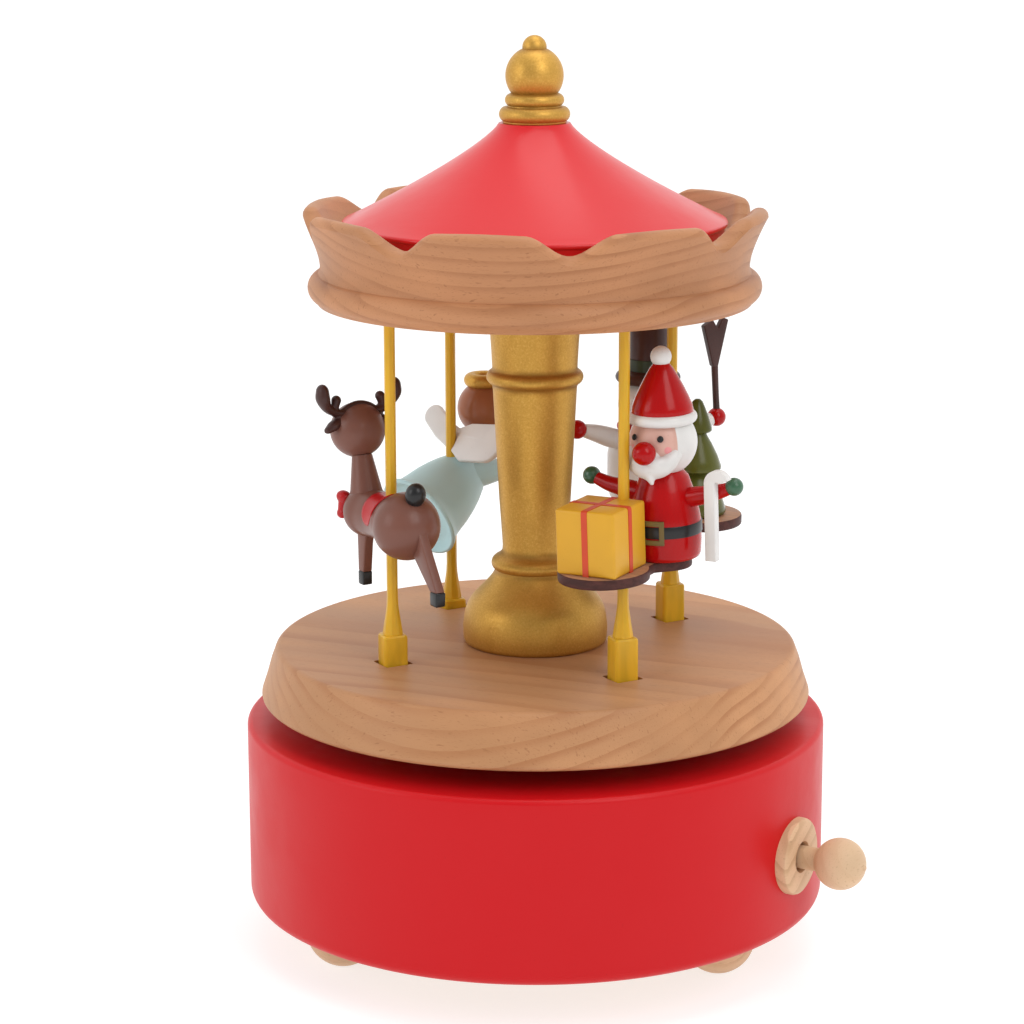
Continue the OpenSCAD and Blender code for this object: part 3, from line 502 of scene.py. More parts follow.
def rounded(made, bevel, sharp=38, segments=3):
    """Rounds every edge that is sharper than the angle."""
    work = bmesh.new()
    work.from_mesh(made.data)
    edges = [e for e in work.edges if len(e.link_faces) == 2 and e.calc_face_angle(0) > radians(sharp)]
    bmesh.ops.bevel(work, geom=edges, offset=bevel * MM, segments=segments, profile=0.5, affect="EDGES",
                    clamp_overlap=True)
    mark_sharp(work, sharp)
    work.to_mesh(made.data)
    work.free()
    return made


def subtract(made, cutters):
    """Cuts the cutters out of a piece, then removes them."""
    for cutter in cutters:
        cut = made.modifiers.new("cut", "BOOLEAN")
        cut.operation = "DIFFERENCE"
        cut.solver = "EXACT"
        cut.object = cutter
        apply_modifiers(made)
        bpy.data.objects.remove(cutter)
    work = bmesh.new()
    work.from_mesh(made.data)
    mark_sharp(work, 38)
    work.to_mesh(made.data)
    work.free()


def low(name):
    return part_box(name)[0] / MM


def high(name):
    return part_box(name)[1] / MM


def settle(made, body, slot, *nodes):
    """The piece moves with the body and stands for the CAD nodes. The slot argument is not used."""
    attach(made, body)
    if nodes:
        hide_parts(*nodes)
    return made


# ---------- Drum, knob and feet ----------

def make_base():
    z0, z1 = low("drum").z, high("drum").z
    r = high("drum").x
    trench_in, trench_out, trench_z = 27, 38.5, 31.8
    profile = [(51.4, z0), (51.4, z0 + 3), (47, z0 + 3), (47, 29.8), (3.5, 29.8), (3.5, z1 - 1.8),
               (trench_in, z1 - 1.8), (trench_in, trench_z), (trench_out, trench_z),
               (trench_out, z1 - 0.6), (trench_out + 0.6, z1)]
    profile += arc(r - 1.1, z1 - 1.1, 1.1, 90, 0, 8)
    profile += [(r, z) for z in (40, 34, 28, 22, 16)]
    profile += arc(r - 2.4, z0 + 2.4, 2.4, 0, -90, 12)
    drum = turned("painted_drum", profile, ["red"], segments=192, loop=True)
    hole = turned("hole", [(0, -20), (2.6, -20), (2.6, 20), (0, 20)], ["red"],
                  moved(r, 0, knob_height()) @ towards((1, 0, 0)), 40)
    subtract(drum, [hole])
    settle(drum, "base", "red_paint", "drum")

    x = high("knob_ring").x
    ring = [(3, -2.2), (2.8, -0.7), (3.1, 0), (6.7, 0), (7.3, -0.35), (7.5, -0.9), (7.5, -2.6), (3, -2.6)]
    ring = turned("beech_knob_ring", ring, ["pale"],
                  moved(x, 0, knob_height()) @ towards((1, 0, 0)), 72, loop=True)
    settle(ring, "base", "pale_wood", "knob_ring")
    make_knob()

    radius, centre, top = 7.3, 6.8, low("drum").z
    outline = [(0, 0), (2.3, 0), (2.7, 0.15)] + arc(0, centre, radius, -66, 20, 20) + [(6.2, top), (0, top)]
    for k in range(3):
        angle = radians(-3 + 120 * k)
        at = moved(42.5 * cos(angle), 42.5 * sin(angle), 0)
        foot = turned(f"ball_foot_{k + 1}", outline, ["foot"], at, 56)
        settle(foot, "base", "pale_wood", *(["feet"] if k == 0 else []))


def knob_height():
    return (low("knob_ring").z + high("knob_ring").z) / 2


def make_knob():
    tip = high("stop_knob").x
    centre = tip - 5.4
    inner = low("stop_knob").x
    outline = [(0, inner), (1.9, inner), (2.25, inner + 0.4), (2.25, centre - 4.7), (2.5, centre - 4.35)]
    outline += arc(0, centre, 5, -58, 82, 22)
    outline += [(0.55, centre + 5.05), (0.4, centre + 5.3), (0, centre + 5.4)]
    at = moved(0, 0, knob_height()) @ towards((1, 0, 0))
    settle(turned("beech_knob", outline, ["knob"], at, 56), "knob", "pale_wood", "stop_knob")


# ---------- Carousel ----------

def make_platform():
    z0, z1 = low("platform").z, high("platform").z
    r = high("platform").x - 0.02
    top_r = r - 2.7
    profile = [(0, z0), (r - 0.9, z0)] + arc(r - 0.9, z0 + 0.9, 0.9, -90, 14, 6)[1:]
    profile += [(r - 1.0, z0 + 4), (r - 1.9, z0 + 7.2)]
    profile += arc(top_r - 1.3, z1 - 1.3, 1.3, 18, 90, 7) + [(0, z1)]
    platform = turned("beech_platform", profile, ["beech_low"], segments=192)
    slots = []
    for pole in POLES:
        side = 2.9
        outline = arc(side - 0.35, side - 0.35, 0.35, 0, 90, 4)
        outline = [(x * c - y * s, x * s + y * c)
                   for c, s in ((1, 0), (0, 1), (-1, 0), (0, -1)) for x, y in outline]
        slots.append(slab("slot", outline, z0 - 2, z1 + 2, ["slot"], at_pole(pole), 0))
    subtract(platform, slots)
    settle(platform, "carousel", "beech", "platform")


def make_column():
    z, top = low("column").z, high("column").z
    profile = [(0, z), (13.6, z), (14.1, z + 0.35), (14.3, z + 1), (14.35, z + 3.4)]
    bell = [(14.1, 5.4), (13.8, 6.7), (13.35, 7.8), (12.75, 8.8), (12.0, 9.7), (11.1, 10.6), (10.1, 11.6),
            (9.2, 12.6), (8.5, 13.5), (8.05, 14.3), (8.0, 14.8)]
    profile += [(r, z + rise) for r, rise in bell] + arc(7.15, z + 16, 1.5, -38, 70, 9)
    profile += [(6.95, z + 17.9), (6.5, z + 18.5), (6.42, z + 19.6), (6.7, z + 24), (7.05, z + 28.8),
                (7.6, z + 38.8)]
    profile += [(8.2, z + 50.2), (8.3, z + 51.5)] + arc(8.1, z + 53.3, 1.4, -66, 70, 10)
    profile += [(8.35, z + 55.1), (8.4, z + 56.2), (8.55, z + 59), (8.75, z + 62), (9, top), (0, top)]
    column = turned("gold_column", profile, ["gold_column"], segments=128)
    settle(column, "carousel", "gold_paint", "column")


def make_crown():
    z, crest = low("crown").z, high("crown").z
    count, first, half_width, depth = 8, -6, 11.2, 4.2
    segments = 45 * count
    waist = z + 8

    def outer(height):
        """Radius of the flared wall."""
        t = max(0, (height - waist) / (crest - waist))
        return 41.7 + 4.25 * t ** 1.35

    def inner(height):
        t = max(0, (height - (z + 12.9)) / (crest - z - 12.9))
        return 38.4 + 3.9 * t ** 0.85

    def rim(angle):
        """Height of the scalloped rim."""
        off = (angle - first + 22.5) % 45 - 22.5
        bulge = 0.25 * cos(radians(8 * (angle - first)))
        if abs(off) >= half_width:
            return crest - 0.25 - bulge
        dip = 0.5 + 0.5 * cos(pi * off / half_width)
        return crest - 0.25 - bulge - (depth - 0.4) * dip ** 0.9

    rings = []
    columns = []
    for k in range(segments):
        angle = 360 * k / segments
        h = rim(angle)
        line = [(36.5, z), (42.2, z)] + arc(41.3, z + 3, 2.75, -62, 66, 12)
        line += [(42.0, z + 5.6), (41.65, z + 6.4), (41.6, z + 7.2)]
        steps = [waist + (h - 1.5 - waist) * i / 8 for i in range(9)]
        line += [(outer(step), step) for step in steps]
        for lift, inset in ((-1.45, 0.06), (-1.05, 0.3), (-0.65, 0.72), (-0.3, 1.25), (-0.08, 1.8), (0, 2.3)):
            line.append((outer(h + lift) - inset, h + lift))
        for lift, inset in ((0, 0.85), (-0.12, 0.45), (-0.42, 0.15), (-0.85, 0.02)):
            line.append((inner(h + lift) + inset, h + lift))
        ledge = z + 12.9
        steps = [ledge + (h - 1.1 - ledge) * i / 4 for i in (3, 2, 1, 0)]
        line += [(inner(step), step) for step in steps]
        line += [(35.4, ledge), (35.4, z + 5), (20, z + 5), (2.1, z + 5), (2.1, z), (20, z)]
        columns.append([(r * cos(radians(angle)), r * sin(radians(angle)), h2) for r, h2 in line])
    for i in range(len(columns[0])):
        rings.append([column[i] for column in columns])
    points, faces = rings_mesh(rings, loop=True)
    crown = piece("beech_crown", points, faces, ["beech_high"], sharp=50)
    holes = [turned("hole", [(0, z - 3), (1.22, z - 3), (1.22, z + 8), (0, z + 8)], ["beech_high"],
                    at_pole(pole), 28) for pole in POLES]
    subtract(crown, holes)
    settle(crown, "carousel", "beech", "crown")


def make_roof():
    z, top = low("roof").z, high("roof").z
    edge, edge_r, neck_r = z + 2.7, 37.3, 6.9
    profile = [(0, z), (36.2, z), (36.6, z + 0.3), (36.75, z + 1.7)] + arc(36.7, z + 2.3, 0.62, -35, 78, 7)
    count = 26
    for i in range(1, count + 1):
        t = 1 - i / count
        profile.append((neck_r + (edge_r - 0.75 - neck_r) * t ** 1.26,
                        edge + 0.25 + (top - edge - 0.25) * (1 - t)))
    profile.append((0, top))
    settle(turned("red_roof", profile, ["red_roof"], segments=192), "carousel", "red_gloss", "roof")

    profile = [(0, top - 0.3), (5.6, top - 0.3), (6.1, top + 0.1)] + arc(5.3, top + 1.65, 1.55, -58, 62, 10)
    profile += [(5.2, top + 3.1)] + arc(4.45, top + 4.35, 1.25, -55, 62, 9) + [(4.5, top + 5.7)]
    profile += arc(0, top + 9, 5.6, -32, 64, 20) + [(2.2, top + 14.05)]
    profile += arc(0, top + 14.3, 2.35, -12, 88, 12)
    profile.append((0, high("finial").z))
    finial = turned("gold_finial", profile, ["gold_finial"], segments=80)
    settle(finial, "carousel", "gold_paint", "finial")


# ---------- Poles ----------

POLES = ("santa", "deer", "snowman", "angel")
PLY = 2.0
# Height of each footed plate's underside on its pole, and how far the group leans
PLATES = {"santa": (32.68, 2.2), "snowman": (34.32, 1.0)}


def pole_angle(figure):
    middle = (low(figure + "_pole") + high(figure + "_pole")) / 2
    return degrees(atan2(middle.y, middle.x))


def at_pole(figure):
    """Frame at a pole: X is the way the figure faces and Y points away from the axis."""
    middle = (low(figure + "_pole") + high(figure + "_pole")) / 2
    return moved(middle.x, middle.y, 0) @ spin(pole_angle(figure) - 90)


def at_plate(figure):
    """Frame of a group that leans forward on its pole, at the top of its footed plate."""
    rise, lean = PLATES[figure]
    pivot = moved(0, 0, low(figure + "_pole").z + rise)
    return at_pole(figure) @ pivot @ spin(lean, "Y") @ moved(0, 0, PLY)


def rounded_polygon(sides, flats, corner, z, turn=0.0, per=4):
    """Ring of a regular polygon with rounded corners, by its width across flats."""
    apothem = flats / 2 - corner
    reach = apothem / cos(pi / sides)
    ring = []
    for k in range(sides):
        middle = 2 * pi * k / sides + turn
        for i in range(per):
            a = middle + (i / (per - 1) - 0.5) * 2 * pi / sides
            ring.append((reach * cos(middle) + corner * cos(a),
                         reach * sin(middle) + corner * sin(a), z))
    return ring


def make_pole(figure):
    bottom, top = low(figure + "_pole").z, high(figure + "_pole").z
    shoulder = bottom + 20.3
    turn = radians(90 - 10.5)
    rod_turn = turn + radians(22.5)
    rings = [[(0, 0, bottom)]]
    for lift, flats in ((0.15, 1.6), (0.7, 3.2), (1.5, 4.2), (2.3, 4.7), (3.4, 4.85), (19.4, 4.8)):
        rings.append(rounded_polygon(4, flats, min(0.75, flats / 3), bottom + lift, turn + pi / 4, 8))
    rings.append(rounded_polygon(4, 4.76, 0.75, shoulder - 0.3, turn + pi / 4, 8))
    rings.append(rounded_polygon(4, 4.35, 0.7, shoulder, turn + pi / 4, 8))
    for lift, flats in ((0.05, 3.65), (0.5, 3.6), (2.0, 3.2), (4.0, 2.6), (5.6, 2.2), (7.5, 2.02), (30, 2.0),
                        (50, 2.0)):
        rings.append(rounded_polygon(8, flats, 0.3, shoulder + lift, rod_turn))
    rings.append(rounded_polygon(8, 2.0, 0.3, top - 0.4, rod_turn))
    rings.append(rounded_polygon(8, 1.4, 0.3, top, rod_turn))
    points, faces = rings_mesh(rings)
    at = at_pole(figure)
    made = piece(figure + "_moulded_pole", points, faces, ["pole"], at, sharp=30)
    settle(made, figure, "pole_plastic", figure + "_pole")


# ---------- Reindeer ----------

def make_deer():
    at = at_pole("deer")
    fawn, dark, black, red = "fawn", "dark_brown", "black", "red_trim"
    lying = at @ moved(0, 0, 88.9) @ towards((1, 0, 0))
    rear, chest = -5.9, 9.3
    outline = [(0, rear - 6.55)] + [(r, x) for x, r in arc(rear, 0, 6.55, 180, 62, 20)]
    outline += [(5.15, -1.4), (4.75, 0.6), (4.5, 2.6), (4.45, 4.4), (4.62, 6.2)]
    outline += [(r, x) for x, r in arc(chest, 0, 4.95, 112, 0, 18)]
    torso = turned("deer_torso", outline, [fawn], lying, 72, sharp=60)
    settle(torso, "deer", "fawn_paint", "deer_body")

    neck = [(0, 0), (4.1, 0), (3.6, 1.4), (3.1, 3.6), (2.5, 7.2), (2.1, 9.6), (2.0, 10.3), (0, 10.5)]
    root, top = Vector((9.4, 0, 89.6)), Vector((11.75, 0, 100.1))
    leaning = at @ Matrix.Translation(root) @ towards(top - root)
    settle(turned("deer_neck", neck, [fawn], leaning, 56), "deer", "fawn_paint")

    skull = Vector((13.3, 0, 104.4))
    head = turned("deer_skull", ball_profile(5.4, 0, 1.9, 0.3, 26), [fawn], at @ Matrix.Translation(skull),
                  56)
    settle(head, "deer", "fawn_paint", "deer_head")
    settle(ball("deer_nose", skull + Vector((5.55, 0, -0.9)), 1.15, [black], at, axis=(1, 0, 0)), "deer",
           "black_paint")
    for side, name in SIDES:
        eye = skull + Vector((4.55, side * 2.25, 1.5))
        settle(ball(f"deer_eye_{name}", eye, 0.62, [black], at, axis=(1, side * 0.5, 0.3)),
               "deer", "black_paint")

    forms = [limb_mesh([(-0.6, y, sqrt(5.3 ** 2 - y * y), 0.62) for y in (-4.3, -2.6, 0, 2.6, 4.3)])]
    for side in (-1, 1):
        forms.append(limb_mesh([(-0.5, 3.0, 3.7, 1.0), (-0.5, 5.2, 4.0, 1.05), (-0.6, 6.9, 5.0, 1.25),
                                (-0.7, 7.8, 6.8, 1.75), (-0.7, 7.9, 8.2, 1.6)], flat=0.75, hand=side))
        forms.append(limb_mesh([(-0.5, 5.2, 3.8, 0.8), (-0.5, 5.1, 5.1, 0.8), (-0.4, 4.8, 6.3, 1.0)],
                               hand=side))
        forms.append(limb_mesh([(-0.6, 4.3, 2.3, 1.1), (-0.8, 5.7, 1.4, 1.4), (-1.0, 6.8, 0.8, 1.0)],
                               flat=0.7, hand=side))
    antlers = carved("deer_antler_band", forms, [dark], at @ Matrix.Translation(skull), 0.2, 3)
    settle(antlers, "deer", "dark_brown_paint", "deer_antlers")

    make_deer_legs(at, fawn, black)
    tail = ball("deer_tail_bead", (-9.6, 0, 95.6), 2.0, [black], at, (1, 1, 1.2), (-0.3, 0, 1))
    settle(tail, "deer", "black_paint", "deer_tail")
    make_deer_trim(at, red)


def make_deer_legs(at, fawn, black):
    thick = 0.98
    rear = [(-11.4, 90.4), (-12.9, 87.6), (-18.9, 78.5), (-16.5, 78.3), (-9.6, 84.4), (-9.1, 88)]
    front = [(8.2, 86.6), (9.2, 82.3), (9.9, 76.6), (12.0, 76.6), (12.2, 82.6), (12.4, 86.6)]
    for name, outline in (("rear", rear), ("front", front)):
        leg = slab(f"deer_{name}_leg", outline, -thick, thick, [fawn], at @ ALONG, 0.28)
        settle(leg, "deer", "fawn_paint", *(["deer_legs"] if name == "rear" else []))
    for name, hoof in (("rear", [(-19.1, 78.55), (-18.95, 75.75), (-16.5, 75.75), (-16.45, 78.45)]),
                       ("front", [(9.85, 76.7), (9.9, 73.95), (12.0, 73.95), (12.05, 76.7)])):
        made = slab(f"deer_{name}_hoof", hoof, -thick - 0.06, thick + 0.06, [black], at @ ALONG, 0.3)
        settle(made, "deer", "black_paint")


def make_deer_trim(at, red):
    """Saddle patch painted across the back, and the bow on the chest."""
    rings = []
    for i in range(25):
        swing = radians(-100 + 200 * i / 24)
        narrow = sqrt(max(0.02, 1 - (abs(swing) / radians(101)) ** 3))
        ring = []
        for j in range(11):
            x = 1.6 + (j / 10 - 0.5) * 5.4 * narrow
            r = 5.0 - 0.42 * sin(pi * min(max((x + 1.2) / 8.2, 0), 1)) + 0.10 + (0.32 if x < -0.6 else 0)
            ring.append((x, r * sin(swing), r * cos(swing)))
        rings.append(ring)
    points = [p for ring in rings for p in ring]
    faces = [(i * 11 + j, i * 11 + j + 1, i * 11 + j + 12, i * 11 + j + 11)
             for i in range(24) for j in range(10)]
    saddle = piece("deer_saddle", points, faces, [red], at @ moved(0, 0, 88.9), sharp=80)
    thicken = saddle.modifiers.new("thick", "SOLIDIFY")
    thicken.thickness = 0.3 * MM
    thicken.offset = -1
    apply_modifiers(saddle)
    settle(saddle, "deer", "red_gloss", "deer_harness")

    forms = [limb_mesh([(0, -0.5, 0, 0.85), (0.1, 0, 0, 0.95), (0, 0.5, 0, 0.85)])]
    for side in (-1, 1):
        forms.append(limb_mesh([(0, 0.4, 0.3, 0.6), (0, 1.6, 1.0, 1.2), (-0.2, 2.8, 1.8, 1.7)],
                               flat=0.8, hand=side))
        forms.append(limb_mesh([(0, 0.4, -0.2, 0.5), (0, 1.8, -0.5, 1.1), (-0.2, 3.0, -1.1, 1.45)],
                               flat=0.8, hand=side))
        forms.append(limb_mesh([(-0.2, 2.8, 1.7, 1.2), (-0.2, 2.9, 0.3, 1.2), (-0.2, 3.0, -0.9, 1.2)],
                               hand=side))
    bow = carved("deer_bow", forms, [red], at @ moved(14.1, 0, 89.3), 0.18, 2)
    settle(bow, "deer", "red_gloss")


# ---------- Doll in red with a gift ----------

def outline_plate(wide_x, wide_y, wide_r, rear_x, rear_r=5.0):
    """A wide round lobe in front and a small one behind, joined by a waisted neck."""
    front = arc(wide_x, wide_y, wide_r, 205, 515, 40)
    back = arc(rear_x, 0, rear_r, 62, 298, 22)
    neck_x = rear_x + (wide_x - rear_x) * 0.34
    return front + [(neck_x, 3.7)] + back + [(neck_x, -3.7)]


def make_plate(figure, node_name, wide, rear_x):
    plate = slab(node_name + "_ply", outline_plate(*wide, rear_x), -PLY, 0, ["plate"], at_plate(figure), 0.35)
    settle(plate, figure, "brown_paint", node_name)


def make_doll():
    make_plate("santa", "santa_plate", (5.0, 1.1, 8.7), -9.7)
    at = at_plate("santa") @ moved(-9.7, 0, 0) @ spin(29)
    red, white, skin = "red_gloss", "white", "skin"
    coat = [(0, 0), (6.1, 0), (6.5, 0.25), (6.75, 0.9), (6.9, 3.4), (6.88, 7.2), (6.6, 8.8), (6.15, 10.8),
            (5.5, 13.2), (4.7, 15.6), (3.4, 17.1), (0, 17.3)]
    settle(turned("doll_coat", coat, [red], at, 80), "santa", "red_gloss", "santa_body")
    belt = [(6.7, 4.8), (7.0, 4.85), (7.08, 5.05), (7.06, 6.85), (6.96, 7.1), (6.65, 7.15)]
    settle(turned("doll_belt", belt, ["black"], at, 80, loop=True), "santa", "black_paint", "santa_belt")
    make_buckle(at @ spin(6), 5.95)
    make_doll_head(at, 22.2, skin, white)
    make_doll_hat(at, 25.9, red, white)
    for side, name, reach, lift in ((1, "left", 14.8, 14.7), (-1, "right", 15.6, 14.3)):
        sleeve = [(0, 3.6, 11.6, 2.0), (0, 7, 12.2, 1.85), (0, reach - 4, 12.7 + (lift - 14) * 0.7, 1.5),
                  (0, reach - 1, lift - 0.4, 1.2)]
        settle(limb(f"doll_{name}_sleeve", sleeve, [red], at, ends=(True, False), hand=side),
               "santa", "red_gloss", *(["santa_arms"] if side > 0 else []))
        settle(ball(f"doll_{name}_mitten", (0, side * reach, lift), 1.72, ["green_gloss"], at,
                    axis=(0, side, 0.2)), "santa", "green_paint")
    cane = arc(1.5, 14.9, 0.4, 180, 20, 10) + arc(1.5, 14.9, 2.6, 20, 180, 20) + [(-1.1, 0), (1.1, 0)]
    board = slab("white_cane", cane, -0.85, 0.85, [white], at @ moved(2.55, 11.2, 0.7) @ ACROSS, 0.3)
    settle(board, "santa", "white_paint", "candy_cane")
    make_gift()


def make_buckle(at, z):
    """Square frame of four bars, lying on the belt."""
    wide, tall, bar, bend = 2.45, 2.3, 0.95, 6.95
    bars = (("top", -wide, wide, tall - bar, tall), ("low", -wide, wide, -tall, bar - tall),
            ("left", wide - bar, wide, -tall, tall), ("right", -wide, bar - wide, -tall, tall))
    made = []
    for name, y0, y1, z0, z1 in bars:
        points, faces = [], []
        steps = 10
        for i in range(steps + 1):
            y = y0 + (y1 - y0) * i / steps
            for r, height in ((bend - 0.25, z0), (bend + 0.32, z0), (bend + 0.32, z1), (bend - 0.25, z1)):
                points.append((r * cos(y / bend), r * sin(y / bend), z + height))
        for i in range(steps):
            for k in range(4):
                faces.append((4 * i + k, 4 * i + (k + 1) % 4, 4 * i + 4 + (k + 1) % 4, 4 * i + 4 + k))
        faces += [(0, 1, 2, 3), tuple(4 * steps + k for k in (0, 1, 2, 3))]
        made.append(rounded(piece(f"buckle_{name}", points, faces, ["buckle"], at, sharp=30), 0.1, 50, 2))
    for part in made:
        settle(part, "santa", "gold_paint")


def painted_head(name, r, lines, rows, dip, wide, face_wide, bottom, top, face_top, mats, place):
    """Ball head whose face is a patch of its own mesh, set in a little; angles in degrees."""
    def off_centre(turn):
        return abs((turn + 180) % 360 - 180)

    points, faces, face_mats = [(0, 0, -r)], [], []
    for row in range(1, rows):
        lift = radians(-90 + 180 * row / rows)
        for line in range(lines):
            angle = 2 * pi * line / lines
            inside = off_centre(degrees(angle)) < wide and bottom < degrees(lift) < top
            reach = r - (dip if inside else 0)
            points.append((reach * cos(lift) * cos(angle), reach * cos(lift) * sin(angle),
                           reach * sin(lift)))
    points.append((0, 0, r))
    for line in range(lines):
        after = (line + 1) % lines
        facing = off_centre(360 * (line + 0.5) / lines) < face_wide
        faces.append((0, 1 + after, 1 + line))
        face_mats.append(0 if facing and bottom < -90 else 1)
        for row in range(rows - 2):
            a = 1 + row * lines
            faces.append((a + line, a + after, a + lines + after, a + lines + line))
            face_mats.append(0 if facing and bottom < -90 + 180 * (row + 1.5) / rows < face_top else 1)
        a = 1 + (rows - 2) * lines
        faces.append((a + line, a + after, len(points) - 1))
        face_mats.append(1)
    return piece(name, points, faces, mats, place, face_mats, 60)


def make_eye(figure, side_name, body, spot, r, place):
    """A black bead flattened against the head."""
    eye = Vector(spot)
    settle(ball(f"{figure}_{side_name}_eye", eye, r, ["black"], place, (1, 1, 0.55), eye), body,
           "black_paint")


def make_doll_head(at, z, skin, white):
    """A pink face set into white hair, with a carved beard, a bead nose and cheeks."""
    skull = at @ moved(0, 0, z)
    head = painted_head("doll_head", 6.5, 96, 48, 0.28, 52, 54, -14, 46, 46, [skin, white], skull)
    settle(head, "santa", "white_paint", "santa_head")
    beard = [limb_mesh([(4.7, 0, -2.8, 2.6), (6.0, 0.2, -4.6, 1.9), (6.8, 0.8, -5.6, 1.0),
                        (7.1, 1.2, -6.5, 0.4)], flat=1.25),
             limb_mesh([(3.6, -4.4, -1.5, 1.3), (5.2, -2.8, -3.4, 1.9), (5.9, 0, -4.0, 2.1),
                        (5.2, 2.8, -3.4, 1.9), (3.6, 4.4, -1.5, 1.3)]),
             limb_mesh([(6.9, 0.2, -2.3, 1.0), (6.6, 1.7, -2.8, 1.3), (5.6, 3.3, -2.4, 0.9),
                        (5.0, 4.2, -1.7, 0.3)]),
             limb_mesh([(6.9, -0.2, -2.3, 1.0), (6.6, -1.7, -2.8, 1.3), (5.6, -3.3, -2.4, 0.9),
                        (5.0, -4.2, -1.7, 0.3)])]
    made = carved("doll_beard", beard, [white], skull, 0.24, 3)
    settle(made, "santa", "white_paint")
    settle(ball("doll_nose", (7.7, 0, z - 0.75), 2.25, ["red_gloss"], at, axis=(1, 0, 0.1)), "santa",
           "red_gloss")
    for side, name in SIDES:
        make_eye("doll", name, "santa", (5.7, side * 2.75 - 0.3, 1.75), 0.62, skull)
        cheek = Vector((5.15, side * 3.75, -0.45)).normalized() * 6.0
        settle(ball(f"doll_{name}_cheek", cheek, 0.85, ["cheek"], skull, (1, 1, 0.36), cheek), "santa",
               "white_paint")


def make_doll_hat(at, z, red, white):
    brim = [(0, z), (4.8, z)] + arc(5.45, z + 1.1, 1.12, -85, 85, 10) + [(4.8, z + 2.25), (0, z + 2.3)]
    settle(turned("doll_brim", brim, [white], at, 72, sharp=60), "santa", "white_paint")
    cone = [(0, z + 1.6), (5.7, z + 1.7), (5.9, z + 2.3), (5.7, z + 3.4), (5.0, z + 5.1), (4.15, z + 6.9),
            (3.2, z + 8.7), (2.3, z + 10.3), (1.5, z + 11.3), (0, z + 11.6)]
    settle(turned("doll_hat", cone, [red], at, 72), "santa", "red_gloss", "santa_hat")
    settle(ball("doll_pompom", (0, 0, z + 12.6), 2.0, [white], at), "santa", "white_paint")


def make_gift():
    side = 12.5
    at = at_plate("santa") @ moved(5.4, 1.1, 0) @ spin(29)
    h = side / 2
    box = slab("yellow_gift", [(-h, -h), (h, -h), (h, h), (-h, h)], 0, side, ["yellow"], at, 0.55)
    settle(box, "santa", "yellow_paint", "gift_box")
    for k in range(2):
        path = [(-h, 0)] + arc(-h + 0.5, side - 0.5, 0.5, 180, 90, 5)
        path += arc(h - 0.5, side - 0.5, 0.5, 90, 0, 5) + [(h, 0)]
        proud, deep, half = 0.09 + 0.03 * k, 0.3, 0.62
        points, faces = [], []
        for i, (u, v) in enumerate(path):
            a, b = Vector(path[max(i - 1, 0)]), Vector(path[min(i + 1, len(path) - 1)])
            along = (b - a).normalized()
            out = Vector((-along.y, along.x))
            for push, w in ((proud, -half), (proud, half), (-deep, half), (-deep, -half)):
                p = Vector((u, v)) + out * push
                points.append((p.x, w, p.y) if k == 0 else (w, p.x, p.y))
        for i in range(len(path) - 1):
            faces += [(4 * i + j, 4 * i + (j + 1) % 4, 4 * i + 4 + (j + 1) % 4, 4 * i + 4 + j)
                      for j in range(4)]
        faces += [(0, 1, 2, 3), tuple(4 * len(path) - 4 + j for j in range(4))]
        band_piece = piece(f"gift_band_{k + 1}", points, faces, ["orange"], at, sharp=45)
        settle(band_piece, "santa", "orange_paint", *(["gift_ribbon"] if k == 0 else []))


# ---------- Snowman with a tree ----------

